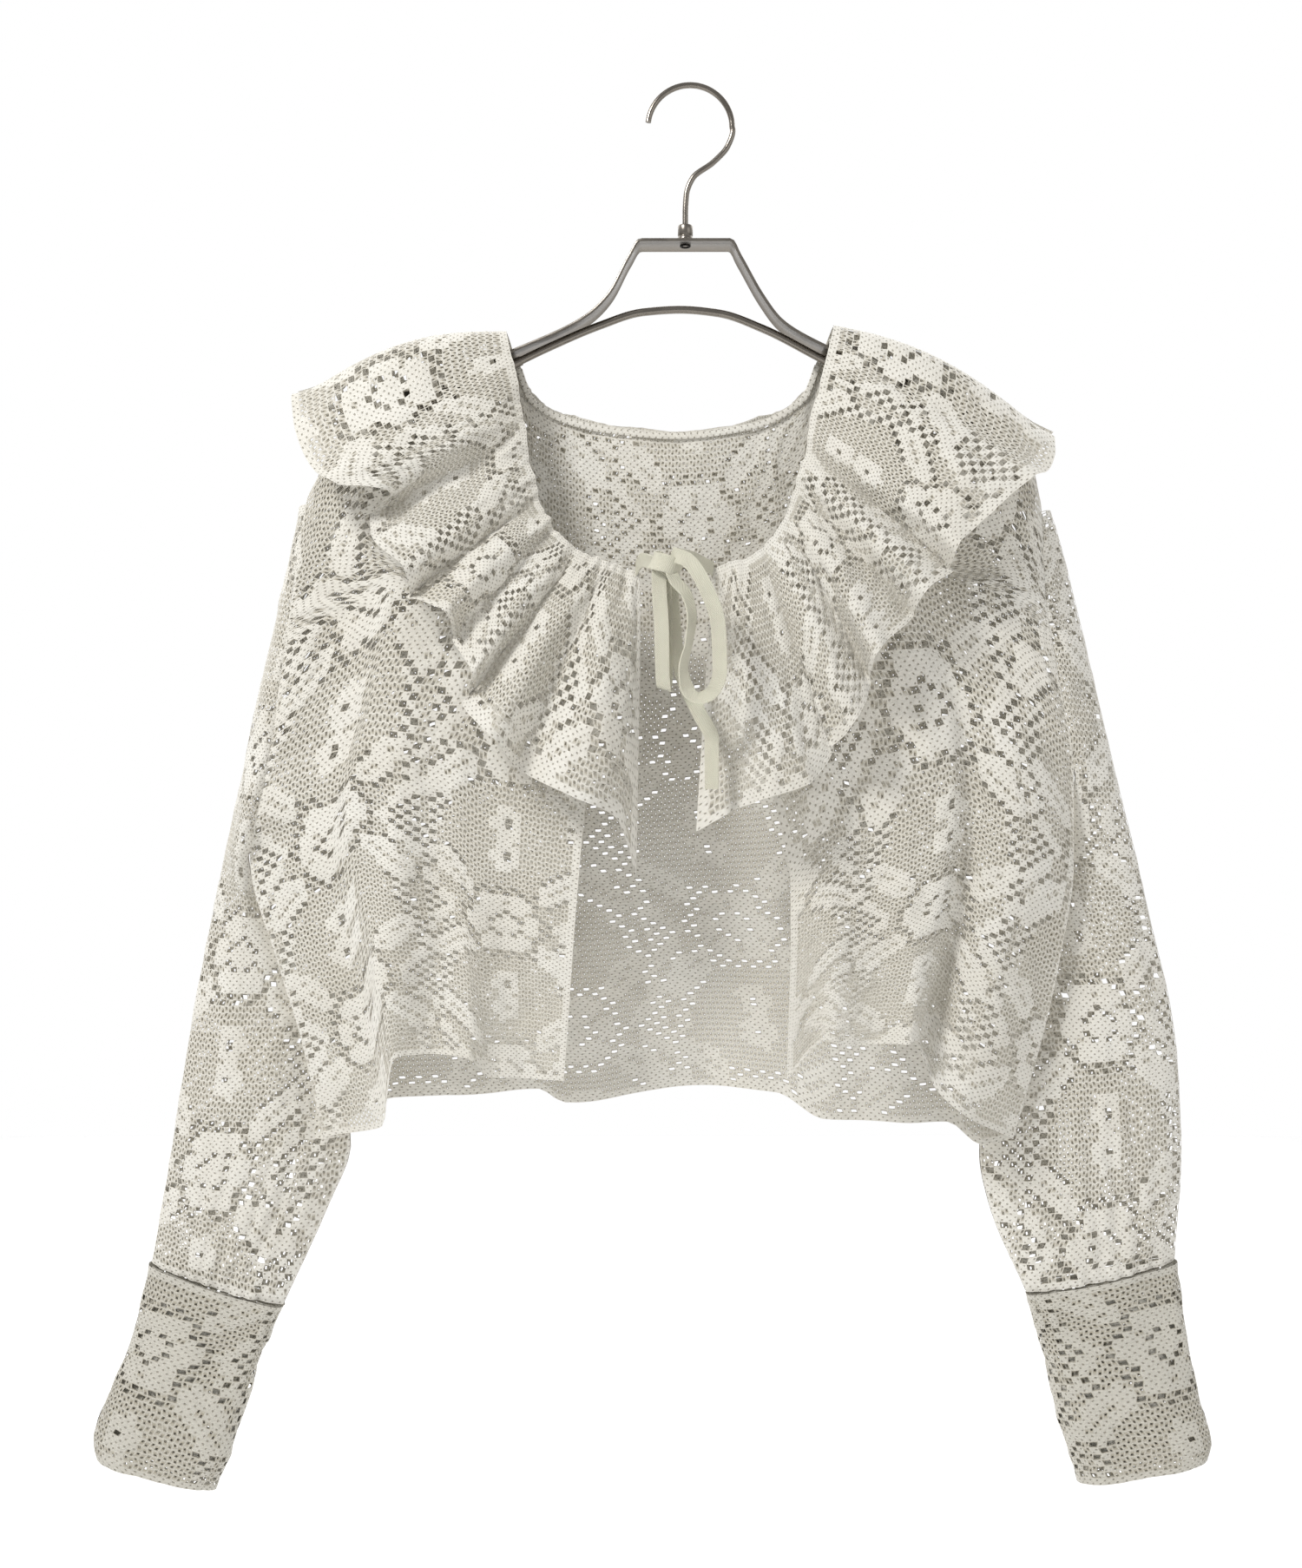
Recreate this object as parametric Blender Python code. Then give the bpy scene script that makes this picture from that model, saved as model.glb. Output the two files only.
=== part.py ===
"""Lace cardigan with a ruffled collar, hanging on a metal clothes hanger.

The origin is the underside of the hook's top, where the rail bears. +Z is up,
the front of the cardigan faces -Y and +X is to the right as seen from the front.
Tables are in millimetres; every cloth piece is a wall of real thickness.
"""
import math

import bpy
import numpy as np
from mathutils import Vector
from mathutils.geometry import delaunay_2d_cdt

MM = 0.001

LACE = 1.5
CUFF_LACE = 2.4
TAPE = 1.0
TAPE_SEEN = 8.0
EASE = 0.4
BINDING_WIDE = 4.0
BINDING_THICK = 0.8
BINDING_DOWN = 0.008
BINDING_OUT = 2.2
SEAM = 0.45
SIDE = 1.3
CLEAR = 0.7
ARCH_DROP = 5.5
ARMHOLE_REACH = 0.22

HOOK_WIRE = 3.8
HOOK_RADIUS = 26.7
FERRULE = (4.8, 2.4, -98.0, -86.9)
STRAP_THICK = 2.0
STRAP_DEPTH = 22.0
ROD_WIRE = 5.0

# Open squares of the lace, across and down
GAP_WIDE = 5.0
GAP_TALL = 4.6
GAP_STEP = 11.0


def path(rows):
    """A smooth curve through table rows whose first column is how far along it each row lies."""
    table = np.array(rows, dtype=float)
    along, values = table[:, 0], table[:, 1:]
    step = np.diff(along)[:, None]
    slope = np.diff(values, axis=0) / step
    tangent = np.zeros_like(values)
    tangent[0], tangent[-1] = slope[0], slope[-1]
    same_way = slope[:-1] * slope[1:] > 0
    mean = 2 * slope[:-1] * slope[1:] / np.where(same_way, slope[:-1] + slope[1:], 1)
    tangent[1:-1] = np.where(same_way, mean, 0)

    def at(t):
        t = min(max(t, along[0]), along[-1])
        k = min(int(np.searchsorted(along, t, side="right")) - 1, len(along) - 2)
        h = along[k + 1] - along[k]
        s = (t - along[k]) / h
        return ((2 * s**3 - 3 * s**2 + 1) * values[k] + (s**3 - 2 * s**2 + s) * h * tangent[k]
                + (3 * s**2 - 2 * s**3) * values[k + 1] + (s**3 - s**2) * h * tangent[k + 1])
    return at


def by_length(points):
    """Table rows for path(), with how far along worked out from the points' spacing."""
    points = np.array(points, dtype=float)
    length = np.concatenate([[0], np.cumsum(np.linalg.norm(np.diff(points, axis=0), axis=1))])
    return np.column_stack([length / length[-1], points])


def smooth(t):
    t = min(max(t, 0.0), 1.0)
    return t * t * (3 - 2 * t)


# Body seams. Columns: how far down the panel, x, depth in front of or behind the middle, z
OPENING_LEFT = (
    (0.00, -114.0, 12.8, -163.0),
    (0.08, -104.5, 14.0, -224.0),
    (0.14, -96.3, 15.0, -263.3),
    (0.19, -76.2, 17.0, -293.4),
    (0.215, -57.2, 19.0, -304.4),
    (0.24, -31.8, 22.0, -311.3),
    (0.46, -64.9, 28.0, -452.9),
    (1.00, -78.0, 34.0, -622.1),
)
OPENING_RIGHT = (
    (0.00, 88.0, 12.8, -159.0),
    (0.09, 75.7, 14.0, -233.2),
    (0.14, 64.7, 15.0, -266.0),
    (0.20, 45.5, 18.0, -298.9),
    (0.24, 15.6, 22.0, -309.1),
    (0.46, 51.8, 28.0, -455.6),
    (0.53, 60.8, 30.0, -498.3),
    (1.00, 57.8, 34.0, -619.4),
)
OUTER_LEFT = (
    (0.00, -238.0, SIDE, -251.6),
    (0.025, -240.5, 9.0, -261.0),
    (0.18, -250.2, 15.0, -330.8),
    (0.36, -261.6, 17.0, -412.4),
    (0.47, -273.0, 14.0, -464.0),
    (0.52, -278.6, SIDE, -486.1),
    (0.70, -261.0, SIDE, -554.3),
    (0.82, -247.2, SIDE, -598.8),
    (1.00, -231.9, SIDE, -664.7),
)
OUTER_RIGHT = (
    (0.00, 219.7, SIDE, -255.4),
    (0.02, 220.2, 9.0, -264.0),
    (0.15, 221.6, 14.0, -319.3),
    (0.27, 227.7, 16.0, -363.6),
    (0.375, 237.6, 13.5, -411.0),
    (0.42, 242.8, SIDE, -434.0),
    (0.56, 242.8, SIDE, -492.2),
    (0.70, 234.0, SIDE, -552.1),
    (0.82, 224.1, SIDE, -596.6),
    (1.00, 204.3, SIDE, -665.8),
)
UNDERARM_LEFT = 0.52
UNDERARM_RIGHT = 0.42

# Shoulder seams, from the neck outwards. Columns: how far out, x, depth, z
SHOULDER_LEFT = (
    (0.00, -114.0, 12.8, -163.0),
    (0.35, -160.0, 12.8, -183.5),
    (0.70, -207.0, 12.8, -204.0),
    (0.85, -224.0, 9.0, -222.0),
    (1.00, -238.0, SIDE, -251.6),
)
SHOULDER_RIGHT = (
    (0.00, 88.0, 12.8, -159.0),
    (0.32, 130.0, 12.8, -179.5),
    (0.76, 200.0, 12.8, -211.0),
    (0.88, 211.0, 9.0, -227.0),
    (1.00, 219.7, SIDE, -255.4),
)

# Front hems, from the opening outwards. Columns: how far out, x, depth, z
HEM_LEFT = (
    (0.00, -78.0, 34.0, -622.1),
    (0.30, -124.6, 36.0, -618.6),
    (0.37, -134.3, 40.0, -606.2),
    (0.66, -178.7, 44.0, -604.5),
    (0.74, -187.2, 30.0, -647.9),
    (1.00, -231.9, SIDE, -664.7),
)
HEM_RIGHT = (
    (0.00, 57.8, 34.0, -619.4),
    (0.18, 83.2, 40.0, -594.6),
    (0.26, 94.1, 42.0, -599.6),
    (0.50, 129.2, 44.0, -597.7),
    (0.55, 134.8, 38.0, -595.3),
    (0.61, 142.5, 16.0, -607.0),
    (0.67, 147.3, 29.0, -623.9),
    (0.76, 160.5, 34.0, -638.6),
    (1.00, 204.3, SIDE, -665.8),
)

# Back panel's top and hem, from the left side to the right. Columns: how far, x, depth, z
BACK_TOP = (
    (0.00, -238.0, SIDE, -251.6),
    (0.04, -224.0, 9.0, -222.0),
    (0.08, -207.0, 12.8, -204.0),
    (0.18, -160.0, 12.8, -183.5),
    (0.27, -114.0, 12.8, -163.0),
    (0.30, -101.0, 14.0, -191.4),
    (0.35, -80.5, 15.0, -204.0),
    (0.41, -52.7, 16.0, -210.5),
    (0.50, -8.0, 16.0, -214.4),
    (0.60, 42.2, 16.0, -207.7),
    (0.67, 72.8, 14.0, -191.4),
    (0.70, 88.0, 12.8, -159.0),
    (0.80, 130.0, 12.8, -179.5),
    (0.94, 200.0, 12.8, -211.0),
    (0.97, 211.0, 9.0, -227.0),
    (1.00, 219.7, SIDE, -255.4),
)
NECK_FROM = 0.27
NECK_TO = 0.70
BACK_HEM = (
    (0.00, -231.9, SIDE, -664.7),
    (0.10, -190.1, 18.0, -643.2),
    (0.18, -154.1, 24.0, -644.7),
    (0.31, -98.0, 26.0, -639.5),
    (0.35, -81.1, 26.0, -647.9),
    (0.54, 3.5, 28.0, -638.7),
    (0.66, 57.1, 28.0, -642.6),
    (0.73, 88.5, 26.0, -659.7),
    (0.84, 137.8, 24.0, -662.1),
    (0.90, 166.7, 18.0, -658.9),
    (0.95, 186.0, 10.0, -671.7),
    (1.00, 204.3, SIDE, -665.8),
)

# Folds that hang down a panel. Columns: x and z of the top, x and z of the bottom, width, height
FOLDS_FRONT_LEFT = (
    (-178.0, -285.0, -182.0, -650.0, 13.0, 12.0),
    (-156.0, -330.0, -157.0, -640.0, 12.0, -6.0),
    (-133.0, -420.0, -132.0, -640.0, 10.0, 9.0),
    (-106.0, -440.0, -104.0, -650.0, 14.0, -5.0),
    (-247.0, -480.0, -185.0, -585.0, 9.0, -4.0),
)
FOLDS_FRONT_RIGHT = (
    (60.0, -420.0, 62.0, -640.0, 11.0, 7.0),
    (85.0, -430.0, 86.0, -640.0, 10.0, 10.0),
    (110.0, -440.0, 112.0, -640.0, 12.0, -6.0),
    (132.0, -430.0, 134.0, -640.0, 9.0, 9.0),
    (190.0, -300.0, 92.0, -452.0, 13.0, -4.0),
)
FOLDS_BACK = (
    (-150.0, -330.0, -160.0, -650.0, 22.0, 9.0),
    (-60.0, -300.0, -66.0, -650.0, 20.0, -6.0),
    (20.0, -320.0, 16.0, -650.0, 24.0, 8.0),
    (110.0, -300.0, 120.0, -660.0, 20.0, 9.0),
)

# Sleeves. Columns: how far down, x, depth of the middle, z. The inner side starts at the underarm.
SLEEVE_LEFT_OUTER = (
    (0.00, -248.5, 5.0, -265.0),
    (0.05, -253.0, 8.0, -285.0),
    (0.14, -263.5, 14.0, -327.6),
    (0.25, -277.8, 20.0, -383.2),
    (0.36, -290.1, 24.0, -439.4),
    (0.45, -300.0, 27.0, -480.0),
    (0.58, -314.0, 30.0, -543.0),
    (0.68, -324.5, 31.0, -598.3),
    (0.76, -331.0, 31.0, -638.0),
    (0.85, -338.1, 31.0, -683.5),
    (1.00, -349.4, 29.0, -751.5),
)
SLEEVE_LEFT_INNER = (
    (0.45, -280.4, 0.0, -486.5),
    (0.49, -279.5, 9.0, -504.0),
    (0.54, -271.0, 20.0, -528.0),
    (0.60, -259.0, 27.0, -558.0),
    (0.68, -242.0, 31.0, -599.0),
    (0.76, -229.0, 32.0, -640.0),
    (0.83, -221.0, 32.0, -676.0),
    (0.90, -236.0, 32.0, -717.0),
    (1.00, -264.1, 29.0, -779.0),
)
SLEEVE_RIGHT_OUTER = (
    (0.00, 229.5, 5.0, -267.0),
    (0.05, 236.0, 8.0, -286.0),
    (0.14, 248.2, 14.0, -327.6),
    (0.25, 263.2, 20.0, -383.2),
    (0.36, 277.3, 24.0, -439.4),
    (0.46, 290.8, 27.0, -490.3),
    (0.58, 303.0, 30.0, -540.0),
    (0.68, 314.5, 31.0, -590.0),
    (0.76, 319.0, 31.0, -628.0),
    (0.86, 321.0, 31.0, -680.0),
    (1.00, 315.7, 29.0, -750.0),
)
SLEEVE_RIGHT_INNER = (
    (0.35, 244.6, 0.0, -434.5),
    (0.39, 244.5, 9.0, -454.0),
    (0.44, 239.0, 19.0, -479.0),
    (0.50, 231.0, 26.0, -508.0),
    (0.60, 219.0, 30.0, -555.0),
    (0.68, 207.0, 31.0, -595.0),
    (0.76, 196.0, 32.0, -638.0),
    (0.84, 189.8, 32.0, -682.0),
    (0.90, 196.0, 32.0, -715.0),
    (1.00, 219.5, 29.0, -771.0),
)
ARMHOLE_TOP = 0.035
ARMHOLE_LEAD = 1.7
# How far each half of a sleeve bulges from the middle. Columns: how far down, bulge
SLEEVE_BULGE = ((0.00, 0.5), (0.30, 4.0), (0.45, 10.0), (0.60, 19.0),
                (0.80, 26.0), (0.92, 23.0), (1.00, 14.0))
GATHERS = 9
GATHER_DEPTH = 3.0

CUFF_LEFT_OUTER = (
    (0.00, -349.8, 29.0, -752.6),
    (0.15, -354.4, 29.0, -774.2),
    (0.45, -363.5, 27.0, -808.0),
    (0.80, -380.0, 24.0, -848.0),
    (0.93, -385.3, 24.0, -866.0),
    (1.00, -381.9, 24.0, -876.4),
)
CUFF_LEFT_INNER = (
    (0.00, -264.5, 29.0, -780.1),
    (0.15, -271.0, 29.0, -793.0),
    (0.45, -283.0, 27.0, -823.0),
    (0.80, -299.0, 24.0, -878.0),
    (1.00, -308.2, 24.0, -896.1),
)
CUFF_RIGHT_OUTER = (
    (0.00, 316.0, 29.0, -751.1),
    (0.35, 321.9, 28.0, -795.0),
    (0.65, 329.5, 26.0, -838.0),
    (0.90, 337.5, 24.0, -868.0),
    (1.00, 334.1, 24.0, -877.4),
)
CUFF_RIGHT_INNER = (
    (0.00, 219.9, 29.0, -772.1),
    (0.35, 229.5, 28.0, -806.0),
    (0.65, 239.5, 26.0, -848.0),
    (1.00, 252.4, 24.0, -892.1),
)
CUFF_BULGE = 14.0

# Collar flounce, from the shoulder fold to its front end.
# Columns: how far along, x and z on the neck seam, x and z on the hem, how far the hem lifts
FLOUNCE_LEFT = (
    (0.000, -116.0, -157.5, -248.0, -195.0, 3.0),
    (0.060, -113.5, -171.0, -246.0, -214.0, 16.0),
    (0.130, -110.5, -187.0, -229.0, -251.0, 30.0),
    (0.190, -107.0, -204.0, -207.0, -263.0, 38.0),
    (0.240, -105.0, -216.0, -184.0, -261.0, 30.0),
    (0.290, -103.0, -228.0, -196.0, -277.0, 14.0),
    (0.350, -101.0, -242.0, -191.0, -296.0, 30.0),
    (0.410, -98.0, -255.0, -171.0, -315.0, 36.0),
    (0.460, -95.0, -266.0, -173.0, -328.0, 15.0),
    (0.530, -90.0, -277.0, -148.0, -338.0, 36.0),
    (0.580, -84.0, -286.0, -145.0, -353.0, 15.0),
    (0.650, -77.0, -293.0, -131.0, -376.0, 34.0),
    (0.700, -69.0, -298.0, -136.0, -391.0, 17.0),
    (0.780, -60.0, -303.0, -120.0, -413.0, 38.0),
    (0.840, -51.0, -306.0, -106.0, -431.0, 16.0),
    (0.920, -42.0, -309.0, -70.0, -449.0, 40.0),
    (0.970, -36.0, -311.0, -44.0, -463.0, 24.0),
    (1.000, -32.0, -312.0, -36.0, -497.0, 14.0),
)
FLOUNCE_RIGHT = (
    (0.000, 90.0, -153.5, 229.0, -221.0, 3.0),
    (0.070, 87.0, -170.0, 220.0, -247.0, 20.0),
    (0.140, 83.0, -187.0, 198.0, -262.0, 34.0),
    (0.210, 78.0, -208.0, 178.0, -281.0, 36.0),
    (0.280, 75.0, -224.0, 158.0, -300.0, 38.0),
    (0.330, 73.0, -234.0, 158.0, -311.0, 15.0),
    (0.400, 70.0, -247.0, 139.0, -326.0, 36.0),
    (0.450, 67.0, -257.0, 134.0, -339.0, 15.0),
    (0.540, 63.0, -268.0, 110.0, -363.0, 38.0),
    (0.600, 58.0, -279.0, 108.0, -379.0, 15.0),
    (0.680, 51.0, -291.0, 94.0, -406.0, 38.0),
    (0.740, 44.0, -298.0, 84.0, -421.0, 15.0),
    (0.820, 35.0, -303.0, 66.0, -442.0, 34.0),
    (0.900, 26.0, -306.0, 42.0, -450.0, 42.0),
    (0.960, 20.0, -308.0, 27.0, -456.0, 30.0),
    (1.000, 14.0, -310.0, 4.0, -470.0, 18.0),
)
RIDGE_RISE = 11.0
BACK_FLOUNCE_WAVES = 6
BACK_FLOUNCE_LIFT = 9.0

# Where the lace is open, as groups of squares. Columns: how far across, how far down, pattern
GROUPS_FRONT = (
    (0.80, 0.12, 4), (0.80, 0.24, 4), (0.55, 0.33, 4), (0.82, 0.42, 4), (0.20, 0.52, 4),
    (0.52, 0.56, 4), (0.82, 0.62, 4), (0.22, 0.74, 4), (0.52, 0.80, 4), (0.86, 0.84, 4),
)
GROUPS_BACK = (
    (0.14, 0.25, 4), (0.32, 0.22, 4), (0.50, 0.26, 4), (0.68, 0.22, 4), (0.86, 0.25, 4),
    (0.23, 0.44, 4), (0.41, 0.46, 4), (0.59, 0.46, 4), (0.77, 0.44, 4), (0.14, 0.64, 4),
    (0.32, 0.66, 4), (0.50, 0.66, 4), (0.68, 0.66, 4), (0.86, 0.64, 4), (0.41, 0.86, 4),
    (0.59, 0.86, 4),
)
GROUPS_SLEEVE = (
    (0.50, 0.30, 2), (0.40, 0.54, 4), (0.66, 0.63, 4), (0.34, 0.68, 4), (0.62, 0.76, 4),
    (0.34, 0.84, 4), (0.66, 0.89, 4),
)
GROUPS_FLOUNCE = ((0.17, 0.60, 2), (0.38, 0.62, 2), (0.54, 0.60, 2), (0.80, 0.62, 2), (0.92, 0.62, 2))

# Hanger. Columns: x, z
HOOK_END = ((27.1, -26.4), (24.0, -36.5), (14.9, -46.8), (1.7, -57.0), (-2.4, -68.0), (-3.0, -80.0),
            (-3.0, -96.4))
STRAP_PATH = (
    (-203.5, -210.0), (-160.0, -190.6), (-118.3, -172.0), (-66.0, -147.5), (-51.0, -133.0),
    (-38.0, -109.0), (-31.0, -99.4), (25.0, -99.4), (31.0, -109.0), (45.5, -134.5), (58.0, -150.5),
    (87.5, -167.5), (140.0, -190.9), (196.9, -216.4),
)
ROD_PATH = (
    (-200.0, -214.0), (-160.0, -196.2), (-118.3, -178.0), (-90.0, -164.5), (-57.2, -150.5),
    (-30.0, -142.0), (-6.0, -140.4), (18.0, -142.6), (46.2, -152.5), (87.5, -173.6),
    (140.0, -196.9), (193.0, -220.5),
)

# Tie of twill tape. Columns: x, y, z
TIE_LOOP_RIGHT = (
    (-13.0, -84.8, -307.0), (-4.0, -91.0, -311.0), (7.0, -95.0, -328.0), (14.0, -96.0, -350.0),
    (15.0, -96.0, -376.0), (10.5, -95.0, -388.0), (3.0, -94.0, -391.5), (-4.5, -93.0, -386.0),
    (-6.0, -92.0, -374.0), (-3.0, -90.5, -360.0), (-1.0, -89.5, -344.0), (-4.0, -88.5, -331.0),
    (-11.0, -86.5, -322.0),
)
TIE_LOOP_LEFT = (
    (-20.0, -82.5, -322.5), (-18.5, -84.0, -350.0), (-18.0, -85.0, -376.0), (-17.5, -84.0, -382.5),
    (-17.0, -81.0, -385.5), (-16.5, -78.0, -382.5), (-16.0, -77.0, -376.0), (-16.0, -78.0, -350.0),
    (-17.0, -79.5, -322.5),
)
TIE_TAIL = (
    (-13.0, -75.5, -321.6), (-11.0, -73.0, -350.0), (-6.0, -73.0, -378.0), (4.0, -75.0, -400.0),
    (11.0, -76.0, -415.0), (11.0, -76.0, -444.0),
)
TIE_END_LEFT = ((-34.0, -32.1, -309.0), (-30.5, -58.0, -307.0), (-22.8, -76.3, -311.2))
TIE_END_RIGHT = ((-9.2, -76.8, -306.3), (-1.0, -62.0, -306.0), (13.5, -33.4, -309.0))
TIE_KNOT = (-16.0, -79.0, -313.5)
TIE_KNOT_SIZE = (7.5, 5.5, 8.5)


def material(name, rgb, rough, metal=0.0):
    made = bpy.data.materials.new(name)
    made.use_nodes = True
    shader = made.node_tree.nodes["Principled BSDF"]
    shader.inputs["Base Color"].default_value = (*rgb, 1)
    shader.inputs["Roughness"].default_value = rough
    shader.inputs["Metallic"].default_value = metal
    return made


def add_object(name, points, faces, rgb, rough=0.9, metal=0.0):
    mesh = bpy.data.meshes.new(name)
    mesh.from_pydata([tuple(float(c) * MM for c in p) for p in points], [], faces)
    mesh.validate()
    mesh.shade_smooth()
    made = bpy.data.objects.new(name, mesh)
    made.data.materials.append(material(name, rgb, rough, metal))
    bpy.context.scene.collection.objects.link(made)
    return made


def skins(middle, tris, thick, limit=None):
    """The two faces of a wall, moved out from the points of its middle along their normals."""
    middle = np.array(middle)
    normals = np.zeros_like(middle)
    for tri in tris:
        for k in range(3):
            a, b, c = (middle[tri[(k + n) % 3]] for n in range(3))
            out = np.cross(b - a, c - a)
            sides = np.linalg.norm(b - a) * np.linalg.norm(c - a)
            size = np.linalg.norm(out)
            if size > 0:
                normals[tri[k]] += out / size * math.asin(min(size / sides, 1))
    normals /= np.maximum(np.linalg.norm(normals, axis=1), 1e-9)[:, None]
    outer, inner = middle + normals * thick / 2, middle - normals * thick / 2
    if limit:
        outer, inner = [limit(p) for p in outer], [limit(p) for p in inner]
    return outer, inner


def squares(groups, drape, columns, rows):
    """Corner points, in grid steps, of the open squares in each group of two or four."""
    found = []
    for u, v, count in groups:
        e = 0.01
        wide = np.linalg.norm(drape(u + e, v) - drape(u - e, v)) / (2 * e)
        tall = np.linalg.norm(drape(u, v + e) - drape(u, v - e)) / (2 * e)
        offsets = ((-0.5, 0), (0.5, 0), (0, -0.5), (0, 0.5))[:count]
        for across, down in offsets:
            mid_u = u + across * GAP_STEP * 1.25 / wide
            mid_v = v + down * GAP_STEP * 1.15 / tall
            half_u, half_v = GAP_WIDE / 2 / wide, GAP_TALL / 2 / tall
            found.append([(np.interp(mid_u + a * half_u, columns, range(len(columns))),
                           np.interp(mid_v + b * half_v, rows, range(len(rows))))
                          for a, b in ((-1, -1), (1, -1), (1, 1), (-1, 1))])
    return found


def cloth(name, drape, columns, rows, rgb, thick=LACE, groups=(), limit=None):
    """A wall of lace over drape(u, v), with its open squares cut through."""
    columns, rows = np.array(columns, float), np.array(rows, float)
    gaps = squares(groups, drape, columns, rows)
    last_i, last_j = len(columns) - 1, len(rows) - 1
    points, edges = [], []
    rim = ([(i, 0) for i in range(last_i)] + [(last_i, j) for j in range(last_j)]
           + [(i, last_j) for i in range(last_i, 0, -1)] + [(0, j) for j in range(last_j, 0, -1)])
    for loop in [rim] + gaps:
        start = len(points)
        points += loop
        edges += [(start + k, start + (k + 1) % len(loop)) for k in range(len(loop))]
    boxes = [(min(p[0] for p in g), max(p[0] for p in g), min(p[1] for p in g), max(p[1] for p in g))
             for g in gaps]
    near = 0.22
    for i in range(1, last_i):
        for j in range(1, last_j):
            if not any(a - near < i < b + near and c - near < j < d + near for a, b, c, d in boxes):
                points.append((i, j))
    flat, _, tris, *_ = delaunay_2d_cdt([Vector(p) for p in points], edges, [], 1, 1e-5)
    kept = []
    for tri in tris:
        x = sum(flat[k][0] for k in tri) / 3
        y = sum(flat[k][1] for k in tri) / 3
        if not any(a < x < b and c < y < d for a, b, c, d in boxes):
            kept.append(tuple(tri))
    middle = [drape(float(np.interp(p[0], range(len(columns)), columns)),
                    float(np.interp(p[1], range(len(rows)), rows))) for p in flat]
    return close_wall(name, *skins(middle, kept, thick, limit), kept, rgb)


def close_wall(name, outer, inner, tris, rgb):
    """Joins two skins with the same triangles into one closed wall that faces out."""
    count = len(outer)
    directed = {(t[k], t[(k + 1) % 3]) for t in tris for k in range(3)}
    faces = [t for t in tris] + [tuple(count + k for k in reversed(t)) for t in tris]
    for a, b in sorted(directed):
        if (b, a) not in directed:
            faces += [(b, a, count + a), (b, count + a, count + b)]
    every = np.array(list(outer) + list(inner))
    volume = sum(np.dot(every[f[0]], np.cross(every[f[1]], every[f[2]])) for f in faces)
    if volume < 0:
        faces = [tuple(reversed(f)) for f in faces]
    used = sorted({k for f in faces for k in f})
    place = {k: n for n, k in enumerate(used)}
    return add_object(name, [every[k] for k in used], [tuple(place[k] for k in f) for f in faces], rgb)


def tube(name, ring, around, rows, rgb, thick):
    """A closed round wall, open at both ends, over ring(angle, v)."""
    middle = [ring(2 * math.pi * k / around, v) for v in rows for k in range(around)]
    tris = []
    for j in range(len(rows) - 1):
        for k in range(around):
            a, b = j * around + k, j * around + (k + 1) % around
            tris += [(a, b, b + around), (a, b + around, a + around)]
    return close_wall(name, *skins(middle, tris, thick), tris, rgb)


def coons(top, bottom, left, right):
    """A surface between four boundary curves."""
    corner = (left(0), right(0), left(1), right(1))

    def at(u, v):
        return ((1 - u) * left(v) + u * right(v) + (1 - v) * top(u) + v * bottom(u)
                - (1 - u) * (1 - v) * corner[0] - u * (1 - v) * corner[1]
                - (1 - u) * v * corner[2] - u * v * corner[3])
    return at


def fold_height(folds, x, z):
    total = 0.0
    for x0, z0, x1, z1, width, height in folds:
        along = np.array([x1 - x0, z1 - z0])
        length = np.linalg.norm(along)
        t = ((x - x0) * along[0] + (z - z0) * along[1]) / length**2
        off = ((x - x0) * along[1] - (z - z0) * along[0]) / length
        total += height * smooth(t) * math.exp(-(off / width) ** 2)
    return total


def pressed_flat(edge):
    """A side edge with its front and back laid together."""
    def at(v):
        x, _, z = edge(v)
        return np.array([x, SIDE, z])
    return at


def body_panel(top, bottom, inner, outer, folds, side, belly, neck=(2.0, 2.0)):
    """A body panel, arched over the hanger at its shoulders but not along its neck.

    side is -1 in front, 1 behind. The armhole opens out of the outer edges; a front has one
    of them, and its other edge, inner, keeps the depth of its table.
    """
    is_back = side > 0
    patch = coons(top, bottom, pressed_flat(inner) if is_back else inner, pressed_flat(outer))

    def at(u, v):
        x, depth, z = patch(u, v)
        depth += (outer(v)[1] - SIDE) * (1 - smooth((1 - u) / ARMHOLE_REACH))
        if is_back:
            depth += (inner(v)[1] - SIDE) * (1 - smooth(u / ARMHOLE_REACH))
        away = min(u, 1 - u) if is_back else 1 - u
        depth += smooth(away / 0.25) * smooth(v / 0.3) * (belly + fold_height(folds, x, z))
        drop = max(top(u)[2] - z, 0) / ARCH_DROP
        at_neck = neck[0] + 0.004 < u < neck[1] - 0.004
        arch = math.sqrt(1 - (1 - drop) ** 2) if drop < 1 and not at_neck else 1
        return np.array([x, side * (SEAM + (max(depth, SIDE) - SEAM) * arch), z])
    return at


def spaced(parts):
    """Positions from 0 to 1. Each entry is an end value and how many steps lead to it."""
    found = [0.0]
    for end, steps in parts:
        found += list(np.linspace(found[-1], end, steps + 1)[1:])
    return found


BODY_ROWS = spaced(((0.002, 1), (0.006, 1), (0.014, 1), (0.24, 3), (0.52, 4), (1.0, 6)))
FRONT_COLUMNS = spaced(((1.0, 11),))
BACK_COLUMNS = spaced(((0.08, 3), (NECK_FROM, 3), (0.277, 1), (0.41, 4), (0.60, 3), (0.693, 3),
                       (NECK_TO, 1), (0.94, 4), (1.0, 2)))


def in_front(spot):
    return np.array([spot[0], min(spot[1], -0.2), spot[2]])


def behind(spot):
    return np.array([spot[0], max(spot[1], 0.2), spot[2]])


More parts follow.
